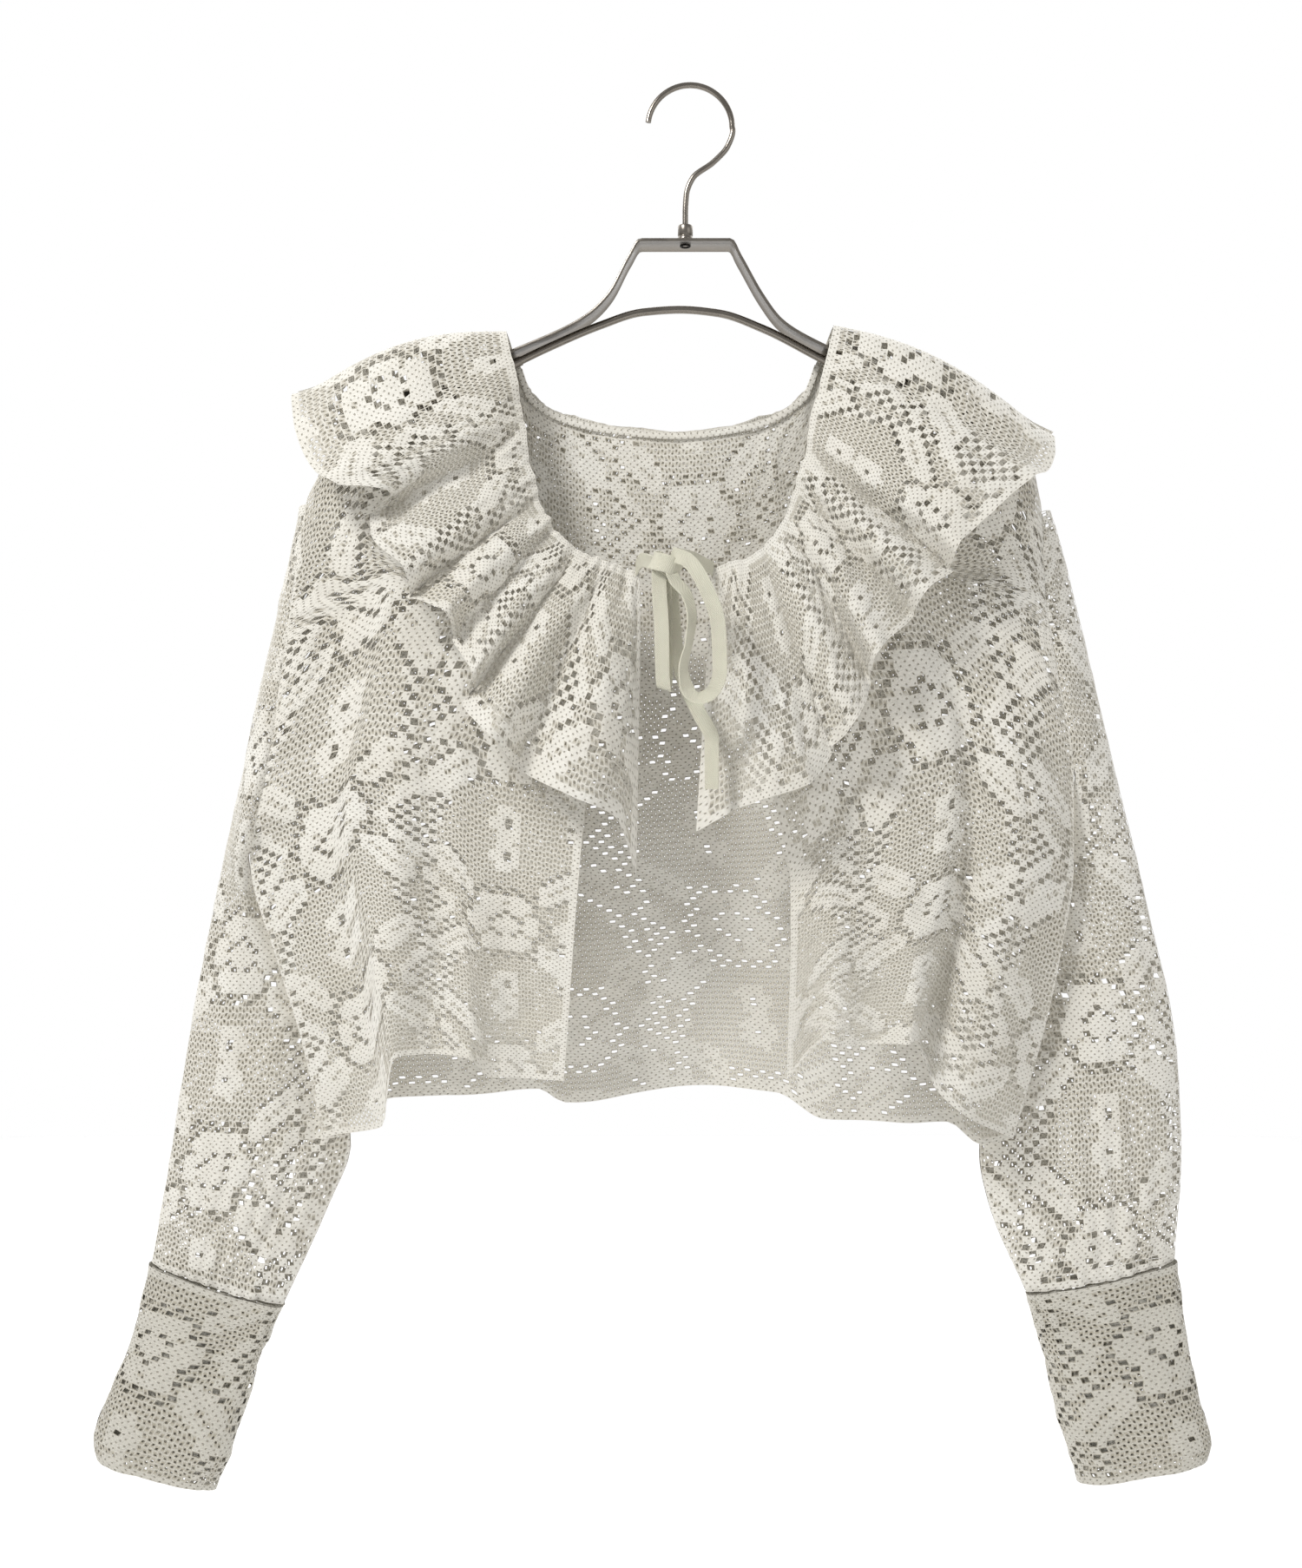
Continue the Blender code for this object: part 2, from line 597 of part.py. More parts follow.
def body_maps():
    shoulder = {"left": path(SHOULDER_LEFT), "right": path(SHOULDER_RIGHT)}
    outer = {"left": path(OUTER_LEFT), "right": path(OUTER_RIGHT)}
    front_left = body_panel(shoulder["left"], path(HEM_LEFT), path(OPENING_LEFT), outer["left"],
                            FOLDS_FRONT_LEFT, -1, 6.0)
    front_right = body_panel(shoulder["right"], path(HEM_RIGHT), path(OPENING_RIGHT), outer["right"],
                             FOLDS_FRONT_RIGHT, -1, 6.0)
    back = body_panel(path(BACK_TOP), path(BACK_HEM), outer["left"], outer["right"],
                      FOLDS_BACK, 1, 4.0, (NECK_FROM, NECK_TO))
    return front_left, front_right, back


def sleeve_map(outer_rows, inner_rows, armhole_rows, underarm, side):
    """Half a sleeve, from its outer fold to the armhole and, below it, the underarm seam.

    side is -1 in front, 1 behind.
    """
    outer, inner, armhole = path(outer_rows), path(inner_rows), path(armhole_rows)
    bulge_at = path(SLEEVE_BULGE)
    out = -1 if outer_rows[0][1] < 0 else 1
    free_from = inner_rows[0][0]

    def at(u, v):
        start = outer(v) + np.array([0, side * SIDE, 0])
        if v < free_from:
            x, depth, z = armhole(ARMHOLE_TOP + (underarm - ARMHOLE_TOP) * v / free_from)
            end = np.array([x + out * ARMHOLE_LEAD, side * depth, z])
        else:
            end = inner(v) + np.array([0, side * SIDE, 0])
        place = start + (end - start) * u
        turn = math.sin(math.pi * u / 2) ** 0.8 if u > 0 else 0
        rounded = math.sin(math.pi * u) ** 0.6 if 0 < u < 1 else 0
        gather = GATHER_DEPTH * smooth((v - 0.6) / 0.4) * math.sin(GATHERS * math.pi * u) ** 2
        bulge = float(bulge_at(v)[0]) - gather
        place[1] = start[1] + (end[1] - start[1]) * turn + side * rounded * bulge
        return place
    return at


def cuff_map(outer_rows, inner_rows):
    outer, inner = path(outer_rows), path(inner_rows)

    def at(angle, v):
        v = min(max(v, 0.0), 1.0)
        start, end = outer(v), inner(v)
        middle, half = (start + end) / 2, (end - start) / 2
        ripple = 1 + 0.06 * math.sin(5 * angle + 3 * v)
        depth = CUFF_BULGE * math.copysign(abs(math.sin(angle)) ** 0.8, math.sin(angle)) * ripple
        return middle + half * -math.cos(angle) + np.array([0, -depth, 0])
    return at


class Under:
    """The cloth that a flounce or tie lies over, as sampled points."""

    def __init__(self, maps, side):
        self.side = side
        self.points = np.array([at(u, v) for at in maps
                                for u in np.linspace(0, 1, 41) for v in np.linspace(0, 1, 101)])

    def clear(self, x, z, reach=11.0):
        """Depth, away from the middle, that clears the cloth near a place, falling off beside it."""
        apart = np.maximum(np.abs(self.points[:, 0] - x), np.abs(self.points[:, 2] - z))
        fall = EASE * np.maximum(apart - reach, 0)
        return float((self.side * self.points[:, 1] - fall).max())


def flounce_map(rows, under):
    table = path(rows)

    def at(u, v):
        neck_x, neck_z, hem_x, hem_z, lift = table(u)
        x = neck_x + (hem_x - neck_x) * v
        z = neck_z + (hem_z - neck_z) * v
        z += RIDGE_RISE * math.sin(math.pi * min(v * 1.1, 1)) * (1 - smooth(u / 0.10))
        away = under.clear(x, z) + LACE + CLEAR
        arch = math.sqrt(1 - (1 - min(u / 0.035, 1)) ** 2)
        wave = lift * v ** 0.8 + 5.0 * math.sin(math.pi * v)
        depth = SEAM + (away + wave - SEAM) * arch
        return np.array([x, -depth, z])
    return at


def back_flounce_map(under):
    """Falls behind the back panel from the shoulder folds and the back neckline."""
    neck = path(((0.00, -116.0, -157.5), (0.10, -104.0, -186.0), (0.22, -80.0, -203.0),
                 (0.50, -8.0, -213.5), (0.78, 52.0, -203.0), (0.90, 76.0, -186.0),
                 (1.00, 90.0, -153.5)))
    hem = path(((0.00, -248.0, -195.0), (0.10, -226.0, -252.0), (0.22, -172.0, -296.0),
                (0.50, -10.0, -342.0), (0.78, 150.0, -296.0), (0.90, 205.0, -254.0),
                (1.00, 229.0, -221.0)))

    def at(u, v):
        neck_x, neck_z = neck(u)
        hem_x, hem_z = hem(u)
        x = neck_x + (hem_x - neck_x) * v
        z = neck_z + (hem_z - neck_z) * v
        edge = min(u, 1 - u)
        z += RIDGE_RISE * math.sin(math.pi * min(v * 1.1, 1)) * (1 - smooth(edge / 0.06))
        away = under.clear(x, z) + LACE + CLEAR
        arch = math.sqrt(1 - (1 - min(edge / 0.03, 1)) ** 2)
        wave = BACK_FLOUNCE_LIFT * (1 - math.cos(2 * math.pi * BACK_FLOUNCE_WAVES * u)) * v ** 0.8
        depth = SEAM + (away + wave + 3.0 * math.sin(math.pi * v) - SEAM) * arch
        return np.array([x, depth, z])
    return at


def strip(name, points, width, thick, rgb, across, rows, rough=0.9, metal=0.0):
    """A flat strip along points. Its width lies along across, or else turns with it, facing front."""
    run = path(by_length(points))
    outer, inner, tris = [], [], []
    for t in rows:
        ahead = run(min(t + 0.004, 1)) - run(max(t - 0.004, 0))
        side = np.array(across, float) if across else np.array([-ahead[2], 0, ahead[0]])
        flat = side - ahead * np.dot(side, ahead) / np.dot(ahead, ahead)
        flat /= np.linalg.norm(flat)
        n = np.cross(ahead, flat)
        n /= np.linalg.norm(n)
        for k in (-0.5, 0.5):
            spot = run(t) + flat * width * k
            outer.append(spot + n * thick / 2)
            inner.append(spot - n * thick / 2)
    for j in range(len(rows) - 1):
        a = 2 * j
        tris += [(a, a + 1, a + 3), (a, a + 3, a + 2)]
    made = close_wall(name, outer, inner, tris, rgb)
    shader = made.data.materials[0].node_tree.nodes["Principled BSDF"]
    shader.inputs["Roughness"].default_value = rough
    shader.inputs["Metallic"].default_value = metal
    return made


def wire(name, points, diameter, sides, rgb, rough, metal, steps):
    """A round bar along points in the XZ plane."""
    run = path(by_length([(x, 0.0, z) for x, z in points]))
    rings, faces = [], []
    for t in np.linspace(0, 1, steps):
        ahead = run(min(t + 0.003, 1)) - run(max(t - 0.003, 0))
        ahead /= np.linalg.norm(ahead)
        flat = np.array([-ahead[2], 0, ahead[0]])
        for k in range(sides):
            angle = 2 * math.pi * k / sides
            rings.append(run(t) + diameter / 2 * (flat * math.cos(angle)
                                                  + np.array([0, 1, 0]) * math.sin(angle)))
    for j in range(steps - 1):
        for k in range(sides):
            a, b = j * sides + k, j * sides + (k + 1) % sides
            faces.append((a, a + sides, b + sides, b))
    faces.append(tuple(range(sides)))
    faces.append(tuple((steps - 1) * sides + k for k in reversed(range(sides))))
    return add_object(name, rings, faces, rgb, rough, metal)


STEEL = (0.12, 0.115, 0.11)
LACE_WHITE = (0.80, 0.78, 0.72)
TAPE_CREAM = (0.74, 0.70, 0.62)


def make_hanger():
    wire_r = HOOK_WIRE / 2
    middle_z = wire_r - HOOK_RADIUS
    bend = [(HOOK_RADIUS * math.cos(a), middle_z + HOOK_RADIUS * math.sin(a))
            for a in np.radians(np.linspace(173, 0, 16))]
    wire("hanger_hook", bend + list(HOOK_END), HOOK_WIRE, 8, STEEL, 0.3, 1.0, 34)
    radius, bore, low, high = FERRULE
    centre = np.array([HOOK_END[-1][0], 0.0, 0.0])
    sides = 16
    outer, inner, tris = [], [], []
    for z in (low, high):
        for k in range(sides):
            angle = 2 * math.pi * k / sides
            ring = np.array([math.cos(angle), math.sin(angle), 0.0])
            outer.append(centre + ring * radius + np.array([0, 0, z]))
            inner.append(centre + ring * bore + np.array([0, 0, z]))
    for k in range(sides):
        a, b = k, (k + 1) % sides
        tris += [(a, b, b + sides), (a, b + sides, a + sides)]
    close_wall("hanger_ferrule", outer, inner, tris, STEEL)
    strip("hanger_strap", [(x, 0.0, z) for x, z in STRAP_PATH], STRAP_DEPTH, STRAP_THICK, STEEL,
          (0, 1, 0), list(np.linspace(0, 1, 44)), 0.3, 1.0)
    wire("hanger_rod", list(ROD_PATH), ROD_WIRE, 8, STEEL, 0.3, 1.0, 24)


def make_tie():
    for name, points, across in (("tie_loop_right", TIE_LOOP_RIGHT, None),
                                 ("tie_loop_left", TIE_LOOP_LEFT, (1, 0, 0)),
                                 ("tie_tail", TIE_TAIL, None)):
        strip(name, points, TAPE_SEEN, TAPE, TAPE_CREAM, across, list(np.linspace(0, 1, 24)))
    for name, points in (("tie_end_left", TIE_END_LEFT), ("tie_end_right", TIE_END_RIGHT)):
        strip(name, points, TAPE_SEEN, TAPE, TAPE_CREAM, (0, 0, 1), [0, 0.25, 0.5, 0.75, 1])
    around, up = 10, 6
    points = [tuple(np.array(TIE_KNOT) + (0, 0, TIE_KNOT_SIZE[2]))]
    for j in range(1, up):
        lat = math.pi * j / up
        for k in range(around):
            lon = 2 * math.pi * k / around
            flatten = math.sin(lat) ** 0.6
            points.append(tuple(np.array(TIE_KNOT) + np.array(TIE_KNOT_SIZE)
                                * (flatten * math.cos(lon), flatten * math.sin(lon), math.cos(lat))))
    points.append(tuple(np.array(TIE_KNOT) - (0, 0, TIE_KNOT_SIZE[2])))
    faces = [(0, 1 + k, 1 + (k + 1) % around) for k in range(around)]
    for j in range(up - 2):
        for k in range(around):
            a, b = 1 + j * around + k, 1 + j * around + (k + 1) % around
            faces.append((a, a + around, b + around, b))
    last = len(points) - 1
    faces += [(last, last - around + (k + 1) % around, last - around + k) for k in range(around)]
    add_object("tie_knot", points, faces, TAPE_CREAM)


def make_neck_binding(back):
    """The bound edge, on the inner face of the back neckline."""
    spots = [back(u, BINDING_DOWN) for u in BACK_COLUMNS if NECK_FROM < u < NECK_TO]
    spots[0] = (spots[0] + spots[1]) / 2
    spots[-1] = (spots[-1] + spots[-2]) / 2
    points = [spot - np.array([0, BINDING_OUT, 0]) for spot in spots]
    strip("neck_binding", points, BINDING_WIDE, BINDING_THICK, LACE_WHITE, (0, 0, 1),
          list(by_length(points)[:, 0]))


def make_garment():
    front_left, front_right, back = body_maps()
    cloth("front_left", front_left, FRONT_COLUMNS, BODY_ROWS, LACE_WHITE,
          groups=GROUPS_FRONT, limit=in_front)
    cloth("front_right", front_right, FRONT_COLUMNS, BODY_ROWS, LACE_WHITE,
          groups=GROUPS_FRONT, limit=in_front)
    cloth("back", back, BACK_COLUMNS, BODY_ROWS, LACE_WHITE, groups=GROUPS_BACK, limit=behind)
    sleeve_rows = spaced(((1.0, 20),))
    sleeve_columns = spaced(((0.1, 1), (0.9, 7), (1.0, 1)))
    sleeve_maps = []
    for side_name, outer, inner, armhole, underarm in (
            ("left", SLEEVE_LEFT_OUTER, SLEEVE_LEFT_INNER, OUTER_LEFT, UNDERARM_LEFT),
            ("right", SLEEVE_RIGHT_OUTER, SLEEVE_RIGHT_INNER, OUTER_RIGHT, UNDERARM_RIGHT)):
        for half, side in (("front", -1), ("back", 1)):
            drape = sleeve_map(outer, inner, armhole, underarm, side)
            sleeve_maps.append(drape)
            cloth("sleeve_%s_%s" % (side_name, half), drape, sleeve_columns, sleeve_rows, LACE_WHITE,
                  groups=GROUPS_SLEEVE)
    cuff_rows = spaced(((0.15, 1), (1.0, 6)))
    tube("cuff_left", cuff_map(CUFF_LEFT_OUTER, CUFF_LEFT_INNER), 18, cuff_rows, LACE_WHITE, CUFF_LACE)
    tube("cuff_right", cuff_map(CUFF_RIGHT_OUTER, CUFF_RIGHT_INNER), 18, cuff_rows, LACE_WHITE,
         CUFF_LACE)
    under_front = Under([front_left, front_right, sleeve_maps[0], sleeve_maps[2]], -1)
    under_back = Under([back, sleeve_maps[1], sleeve_maps[3]], 1)
    flounce_rows = spaced(((1.0, 6),))
    for name, rows in (("collar_flounce_left", FLOUNCE_LEFT), ("collar_flounce_right", FLOUNCE_RIGHT)):
        along = sorted({0.012, 0.03} | {r[0] for r in rows}
                       | {(a[0] + b[0]) / 2 for a, b in zip(rows[1:], rows[2:])})
        cloth(name, flounce_map(rows, under_front), along, flounce_rows, LACE_WHITE,
              groups=GROUPS_FLOUNCE, limit=in_front)
    back_columns = spaced(((0.008, 1), (0.02, 1), (0.98, 30), (0.992, 1), (1.0, 1)))
    cloth("collar_flounce_back", back_flounce_map(under_back), back_columns, flounce_rows, LACE_WHITE,
          limit=behind)
    make_neck_binding(back)


for old in list(bpy.data.objects):
    bpy.data.objects.remove(old)
make_hanger()
make_garment()
make_tie()
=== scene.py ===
"""Lace cardigan on a metal hanger, dressed for rendering.

Laid out as a Blender add-on: run from Blender's text editor it builds the whole scene, and the
sidebar panel rebuilds it a piece at a time. The lace is a lattice of squares, net, clothwork or
open, laid over the same drapes as the solids. Tables and drapes are in millimetres; +Z is up, the
fronts face -Y and the origin is the underside of the hook's top.
"""

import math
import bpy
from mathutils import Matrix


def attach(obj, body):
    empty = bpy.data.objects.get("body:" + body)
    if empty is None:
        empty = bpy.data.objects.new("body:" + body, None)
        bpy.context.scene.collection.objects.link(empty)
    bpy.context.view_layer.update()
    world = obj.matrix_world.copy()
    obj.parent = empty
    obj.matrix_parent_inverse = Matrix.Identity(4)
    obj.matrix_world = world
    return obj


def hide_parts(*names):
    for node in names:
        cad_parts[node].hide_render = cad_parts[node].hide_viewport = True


bl_info = {
    "name": "Lace cardigan",
    "version": (1, 0, 0),
    "blender": (4, 5, 0),
    "location": "3D View > Sidebar > Cardigan",
    "description": "Builds a cropped lace cardigan on a metal hanger",
    "category": "Object",
}

import bpy
import numpy as np
from mathutils import Vector


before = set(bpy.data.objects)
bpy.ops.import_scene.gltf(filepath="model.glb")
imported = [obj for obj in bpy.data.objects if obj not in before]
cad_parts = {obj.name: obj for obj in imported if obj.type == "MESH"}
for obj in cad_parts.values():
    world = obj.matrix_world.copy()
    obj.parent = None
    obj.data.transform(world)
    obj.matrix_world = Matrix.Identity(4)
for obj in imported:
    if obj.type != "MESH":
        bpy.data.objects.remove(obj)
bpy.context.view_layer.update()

MM = 0.001

# How thick the solids' lace, the doubled cuffs and the tape are, and how wide the tape is
LACE = 1.5
CUFF_LACE = 2.4
TAPE = 1.0
TAPE_SEEN = 8.0
# What lies over a panel: the gap that it keeps to it, and how steeply it falls away beside a fold
CLEAR = 0.7
EASE = 0.4
# Half the space between front and back, at the shoulder fold and at the side seams
SEAM = 0.45
SIDE = 1.3
# How far below its fold a shoulder is fully arched, and how far in from the edge an armhole opens
ARCH_DROP = 5.5
ARMHOLE_REACH = 0.22
# How far in from its edges a panel reaches its full depth, as shares of its width and length
BELLY_REACH = 0.25
BELLY_DROP = 0.3
# Bound edge of the back neck: how far down the panel, how far from each end and how far forward
BINDING_DOWN = 0.008
BINDING_IN = 0.012
BINDING_OUT = 2.2
# Its section. Columns: aside, out
BINDING_SECTION = ((-2, -0.3), (-1.7, 0.45), (-0.6, 0.7), (0.7, 0.7), (1.7, 0.45), (2, -0.3), (0, -0.5))

# Hanger: the hook's wire and bend, the strap's section and the rod's wire
HOOK_WIRE = 3.8
HOOK_RADIUS = 26.7
STRAP_THICK = 2.0
STRAP_DEPTH = 22.0
ROD_WIRE = 5.0
# The ferrule's radius, its bore's radius, its foot and its top
FERRULE = (4.8, 2.4, -98.0, -86.9)
# Front edge of the strap below the ferrule, and the rivet in it. Columns: radius, height
RIVET_Z = -100.5
RIVET_RINGS = ((0, 0.5), (2, 0.5), (2.2, -0.05), (3.1, -0.25), (3.4, 0), (3.4, 0.3))


def path(rows):
    """A smooth curve through table rows whose first column is how far along it each row lies."""
    table = np.array(rows, dtype=float)
    along, values = table[:, 0], table[:, 1:]
    step = np.diff(along)[:, None]
    slope = np.diff(values, axis=0) / step
    tangent = np.zeros_like(values)
    tangent[0], tangent[-1] = slope[0], slope[-1]
    same_way = slope[:-1] * slope[1:] > 0
    mean = 2 * slope[:-1] * slope[1:] / np.where(same_way, slope[:-1] + slope[1:], 1)
    tangent[1:-1] = np.where(same_way, mean, 0)

    def at(t):
        t = min(max(t, along[0]), along[-1])
        k = min(int(np.searchsorted(along, t, side="right")) - 1, len(along) - 2)
        h = along[k + 1] - along[k]
        s = (t - along[k]) / h
        return ((2 * s**3 - 3 * s**2 + 1) * values[k] + (s**3 - 2 * s**2 + s) * h * tangent[k]
                + (3 * s**2 - 2 * s**3) * values[k + 1] + (s**3 - s**2) * h * tangent[k + 1])
    return at


def by_length(points):
    """Table rows for path(), with how far along worked out from the points' spacing."""
    points = np.array(points, dtype=float)
    length = np.concatenate([[0], np.cumsum(np.linalg.norm(np.diff(points, axis=0), axis=1))])
    return np.column_stack([length / length[-1], points])


def smooth(t):
    """A soft step from 0 to 1."""
    t = min(max(t, 0.0), 1.0)
    return t * t * (3 - 2 * t)


# Body seams. Columns: how far down the panel, x, depth in front of or behind the middle, z
OPENING_LEFT = (
    (0, -114, 12.8, -163), (0.08, -104.5, 14, -224), (0.14, -96.3, 15, -263.3),
    (0.19, -76.2, 17, -293.4), (0.215, -57.2, 19, -304.4), (0.24, -31.8, 22, -311.3),
    (0.46, -64.9, 28, -452.9), (1, -78, 34, -622.1),
)
OPENING_RIGHT = (
    (0, 88, 12.8, -159), (0.09, 75.7, 14, -233.2), (0.14, 64.7, 15, -266), (0.2, 45.5, 18, -298.9),
    (0.24, 15.6, 22, -309.1), (0.46, 51.8, 28, -455.6), (0.53, 60.8, 30, -498.3), (1, 57.8, 34, -619.4),
)
OUTER_LEFT = (
    (0, -238, SIDE, -251.6), (0.025, -240.5, 9, -261), (0.18, -250.2, 15, -330.8),
    (0.36, -261.6, 17, -412.4), (0.47, -273, 14, -464), (0.52, -278.6, SIDE, -486.1),
    (0.7, -261, SIDE, -554.3), (0.82, -247.2, SIDE, -598.8), (1, -231.9, SIDE, -664.7),
)
OUTER_RIGHT = (
    (0, 219.7, SIDE, -255.4), (0.02, 220.2, 9, -264), (0.15, 221.6, 14, -319.3),
    (0.27, 227.7, 16, -363.6), (0.375, 237.6, 13.5, -411), (0.42, 242.8, SIDE, -434),
    (0.56, 242.8, SIDE, -492.2), (0.7, 234, SIDE, -552.1), (0.82, 224.1, SIDE, -596.6),
    (1, 204.3, SIDE, -665.8),
)
# How far down the side seam each underarm lies
UNDERARM_LEFT = 0.52
UNDERARM_RIGHT = 0.42

# Shoulder seams, from the neck outwards. Columns: how far out, x, depth, z
SHOULDER_LEFT = (
    (0, -114, 12.8, -163), (0.35, -160, 12.8, -183.5), (0.7, -207, 12.8, -204), (0.85, -224, 9, -222),
    (1, -238, SIDE, -251.6),
)
SHOULDER_RIGHT = (
    (0, 88, 12.8, -159), (0.32, 130, 12.8, -179.5), (0.76, 200, 12.8, -211), (0.88, 211, 9, -227),
    (1, 219.7, SIDE, -255.4),
)

# Front hems, from the opening outwards. Columns: how far out, x, depth, z
HEM_LEFT = (
    (0, -78, 34, -622.1), (0.3, -124.6, 36, -618.6), (0.37, -134.3, 40, -606.2),
    (0.66, -178.7, 44, -604.5), (0.74, -187.2, 30, -647.9), (1, -231.9, SIDE, -664.7),
)
HEM_RIGHT = (
    (0, 57.8, 34, -619.4), (0.18, 83.2, 40, -594.6), (0.26, 94.1, 42, -599.6), (0.5, 129.2, 44, -597.7),
    (0.55, 134.8, 38, -595.3), (0.61, 142.5, 16, -607), (0.67, 147.3, 29, -623.9),
    (0.76, 160.5, 34, -638.6), (1, 204.3, SIDE, -665.8),
)

# Back panel's top and hem, from the left side to the right. Columns: how far, x, depth, z
BACK_TOP = (
    (0, -238, SIDE, -251.6), (0.04, -224, 9, -222), (0.08, -207, 12.8, -204), (0.18, -160, 12.8, -183.5),
    (0.27, -114, 12.8, -163), (0.3, -101, 14, -191.4), (0.35, -80.5, 15, -204),
    (0.41, -52.7, 16, -210.5), (0.5, -8, 16, -214.4), (0.6, 42.2, 16, -207.7), (0.67, 72.8, 14, -191.4),
    (0.7, 88, 12.8, -159), (0.8, 130, 12.8, -179.5), (0.94, 200, 12.8, -211), (0.97, 211, 9, -227),
    (1, 219.7, SIDE, -255.4),
)
# Where the neck begins and ends along the back's top
NECK_FROM = 0.27
NECK_TO = 0.70
BACK_HEM = (
    (0, -231.9, SIDE, -664.7), (0.1, -190.1, 18, -643.2), (0.18, -154.1, 24, -644.7),
    (0.31, -98, 26, -639.5), (0.35, -81.1, 26, -647.9), (0.54, 3.5, 28, -638.7),
    (0.66, 57.1, 28, -642.6), (0.73, 88.5, 26, -659.7), (0.84, 137.8, 24, -662.1),
    (0.9, 166.7, 18, -658.9), (0.95, 186, 10, -671.7), (1, 204.3, SIDE, -665.8),
)

# Folds that hang down a panel. Columns: x and z of the top, x and z of the bottom, width, height
FOLDS_FRONT_LEFT = (
    (-178, -285, -182, -650, 13, 12), (-156, -330, -157, -640, 12, -6), (-133, -420, -132, -640, 10, 9),
    (-106, -440, -104, -650, 14, -5), (-247, -480, -185, -585, 9, -4),
)
FOLDS_FRONT_RIGHT = (
    (60, -420, 62, -640, 11, 7), (85, -430, 86, -640, 10, 10), (110, -440, 112, -640, 12, -6),
    (132, -430, 134, -640, 9, 9), (190, -300, 92, -452, 13, -4),
)
FOLDS_BACK = (
    (-150, -330, -160, -650, 22, 9), (-60, -300, -66, -650, 20, -6), (20, -320, 16, -650, 24, 8),
    (110, -300, 120, -660, 20, 9),
)

# Sleeves. Columns: how far down, x, depth of the middle, z. The inner side starts at the underarm.
SLEEVE_LEFT_OUTER = (
    (0, -248.5, 5, -265), (0.05, -253, 8, -285), (0.14, -263.5, 14, -327.6), (0.25, -277.8, 20, -383.2),
    (0.36, -290.1, 24, -439.4), (0.45, -300, 27, -480), (0.58, -314, 30, -543),
    (0.68, -324.5, 31, -598.3), (0.76, -331, 31, -638), (0.85, -338.1, 31, -683.5),
    (1, -349.4, 29, -751.5),
)
SLEEVE_LEFT_INNER = (
    (0.45, -280.4, 0, -486.5), (0.49, -279.5, 9, -504), (0.54, -271, 20, -528), (0.6, -259, 27, -558),
    (0.68, -242, 31, -599), (0.76, -229, 32, -640), (0.83, -221, 32, -676), (0.9, -236, 32, -717),
    (1, -264.1, 29, -779),
)
SLEEVE_RIGHT_OUTER = (
    (0, 229.5, 5, -267), (0.05, 236, 8, -286), (0.14, 248.2, 14, -327.6), (0.25, 263.2, 20, -383.2),
    (0.36, 277.3, 24, -439.4), (0.46, 290.8, 27, -490.3), (0.58, 303, 30, -540), (0.68, 314.5, 31, -590),
    (0.76, 319, 31, -628), (0.86, 321, 31, -680), (1, 315.7, 29, -750),
)
SLEEVE_RIGHT_INNER = (
    (0.35, 244.6, 0, -434.5), (0.39, 244.5, 9, -454), (0.44, 239, 19, -479), (0.5, 231, 26, -508),
    (0.6, 219, 30, -555), (0.68, 207, 31, -595), (0.76, 196, 32, -638), (0.84, 189.8, 32, -682),
    (0.9, 196, 32, -715), (1, 219.5, 29, -771),
)
# How far down the body's side a sleeve starts
ARMHOLE_TOP = 0.035
# How far a sleeve reaches under the body panel at its armhole seam, and how much deeper it lies there
ARMHOLE_LAP = 1.6
ARMHOLE_SUNK = 0.9
# How far each half of a sleeve bulges from the middle. Columns: how far down, bulge
SLEEVE_BULGE = ((0, 0.5), (0.3, 4), (0.45, 10), (0.6, 19), (0.8, 26), (0.92, 23), (1, 14))
# How squarely a half sleeve turns in from its fold, and how full its section is, as exponents
SLEEVE_TURN = 0.8
SLEEVE_ROUND = 0.6
# Gathers of a half sleeve above its cuff, their depth and how far down they begin
GATHERS = 9
GATHER_DEPTH = 3.0
GATHER_FROM = 0.6

# Cuffs, from the sleeve down. Columns: how far down, x, depth of the middle, z
CUFF_LEFT_OUTER = (
    (0, -349.8, 29, -752.6), (0.15, -354.4, 29, -774.2), (0.45, -363.5, 27, -808), (0.8, -380, 24, -848),
    (0.93, -385.3, 24, -866), (1, -381.9, 24, -876.4),
)
CUFF_LEFT_INNER = (
    (0, -264.5, 29, -780.1), (0.15, -271, 29, -793), (0.45, -283, 27, -823), (0.8, -299, 24, -878),
    (1, -308.2, 24, -896.1),
)
CUFF_RIGHT_OUTER = (
    (0, 316, 29, -751.1), (0.35, 321.9, 28, -795), (0.65, 329.5, 26, -838), (0.9, 337.5, 24, -868),
    (1, 334.1, 24, -877.4),
)
CUFF_RIGHT_INNER = (
    (0, 219.9, 29, -772.1), (0.35, 229.5, 28, -806), (0.65, 239.5, 26, -848), (1, 252.4, 24, -892.1),
)
# Half the depth of a cuff, how full its section is as an exponent, and how far that varies
CUFF_BULGE = 14.0
CUFF_ROUND = 0.8
CUFF_RIPPLE = 0.06

# Collar flounce, from the shoulder fold to its front end.
# Columns: how far along, x and z on the neck seam, x and z on the hem, how far the hem lifts
FLOUNCE_LEFT = (
    (0, -116, -157.5, -248, -195, 3), (0.06, -113.5, -171, -246, -214, 16),
    (0.13, -110.5, -187, -229, -251, 30), (0.19, -107, -204, -207, -263, 38),
    (0.24, -105, -216, -184, -261, 30), (0.29, -103, -228, -196, -277, 14),
    (0.35, -101, -242, -191, -296, 30), (0.41, -98, -255, -171, -315, 36),
    (0.46, -95, -266, -173, -328, 15), (0.53, -90, -277, -148, -338, 36),
    (0.58, -84, -286, -145, -353, 15), (0.65, -77, -293, -131, -376, 34),
    (0.7, -69, -298, -136, -391, 17), (0.78, -60, -303, -120, -413, 38),
    (0.84, -51, -306, -106, -431, 16), (0.92, -42, -309, -70, -449, 40),
    (0.97, -36, -311, -44, -463, 24), (1, -32, -312, -36, -497, 14),
)
